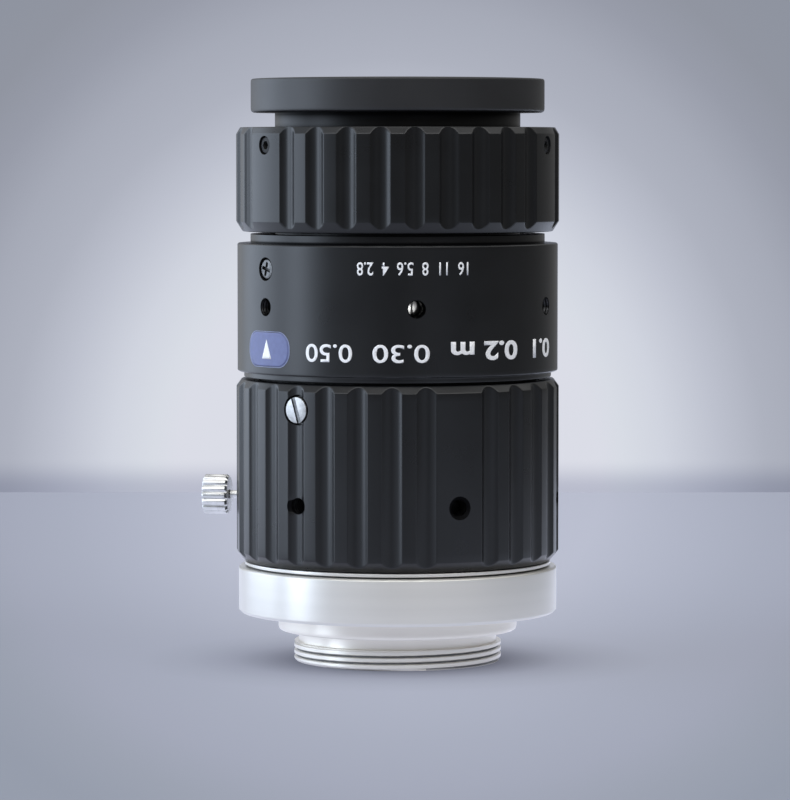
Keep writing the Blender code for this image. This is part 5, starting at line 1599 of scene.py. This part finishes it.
lamp_data = bpy.data.lights.new("hole_lamp", "SPOT")
lamp_data.energy = LAMP_ENERGY
lamp_data.spot_size = math.radians(LAMP_CONE)
lamp_data.spot_blend = LAMP_BLEND
lamp_data.shadow_soft_size = 0.0
hole_lamp = add_object("hole_lamp", lamp_data)
hole_place = deep_frames[0] @ Vector((0.0, 0.0, NAME_RADIUS))
lamp_toward = Matrix.Rotation(math.radians(LAMP_TURN), 3, "Z") @ Vector((0.0, -1.0, LAMP_DROP))
hole_lamp.location = hole_place + lamp_toward * LAMP_DISTANCE
hole_lamp.rotation_mode = "QUATERNION"
hole_lamp.rotation_quaternion = (-lamp_toward).to_track_quat("-Z", "Y")
print("lamp made:", hole_lamp.name)

# %% [markdown]
# The room is a world shader that is read by direction. Round the horizon it is dim, with two tall
# soft windows on the left, and their two reflections are the pale bands on the barrel. Higher up a
# broad soft light in front keeps the white figures and the silver bright. Each band of height has its
# own ramp round the compass, where 0 is the camera's side and negative angles are on the left.

# %% Room light
ROOM_SCALE = 4.0
LOW_LIGHT = [(-180, 0.4, 0), (-148, 0.7, 0.3), (-130, 2.2, 1), (-104, 2.7, 1), (-95, 1.8, 1), (-89, 1.8, 1),
             (-82, 3.9, 1), (-72, 3.8, 1), (-63, 1.6, 1), (-50, 0.45, 0.6), (-30, 0.29, 0.3), (-10, 0.17, 0),
             (2, 0.13, 0), (10, 0.26, 0), (20, 0.22, 0), (35, 0.15, 0), (65, 0.2, 0), (120, 0.19, 0),
             (150, 0.25, 0), (180, 0.4, 0)]
HIGH_LIGHT = [(-180, 0.6, 0), (-80, 0.9, 0.5), (-55, 3.2, 0.3), (55, 3.0, 0), (90, 1.2, 0), (180, 0.6, 0)]
CEILING = 0.6
ZENITH = 1.9
PLAIN_ROOM = 0.62
COOL = (0.86, 0.98, 1.16)
HIGH_BAND = (0.42, 0.56)
CEILING_BAND = (0.72, 0.82)
ZENITH_BAND = (0.90, 0.95)


def compass_ramp(tree, factor, stops):
    """Light by azimuth from (degrees, brightness, coolness) stops; gives the colour socket."""
    marks = []
    for degrees, value, cool in stops:
        tint = [w + (c - w) * cool for w, c in zip(WHITE, COOL)]
        marks.append(((degrees + 180) / 360, tuple(value / ROOM_SCALE * part for part in tint)))
    return ramp_of(tree, factor, marks)


world = bpy.data.worlds.new("studio")
world.use_nodes = True
room = world.node_tree
room_x, room_y, room_z = place_parts(room, "Generated")
compass = math_node(room, "ARCTAN2", room_x, math_node(room, "MULTIPLY", room_y, -1.0))
turn = math_node(room, "ADD", math_node(room, "MULTIPLY", compass, 0.5 / math.pi), 0.5)
light = compass_ramp(room, turn, LOW_LIGHT)
for band, above in ((HIGH_BAND, compass_ramp(room, turn, HIGH_LIGHT)),
                    (CEILING_BAND, grey(CEILING / ROOM_SCALE)), (ZENITH_BAND, grey(ZENITH / ROOM_SCALE))):
    light = mix_colours(room, map_range(room, room_z, band, kind="SMOOTHSTEP"), light, above)
seen = room.nodes.new("ShaderNodeLightPath")
background = room.nodes["Background"]
background.inputs["Strength"].default_value = ROOM_SCALE
feed(room, background.inputs["Color"],
     mix_colours(room, seen.outputs["Is Camera Ray"], light, grey(PLAIN_ROOM / ROOM_SCALE)))
bpy.context.scene.world = world
bpy.context.scene.view_settings.view_transform = "Standard"
print("world made:", world.name)
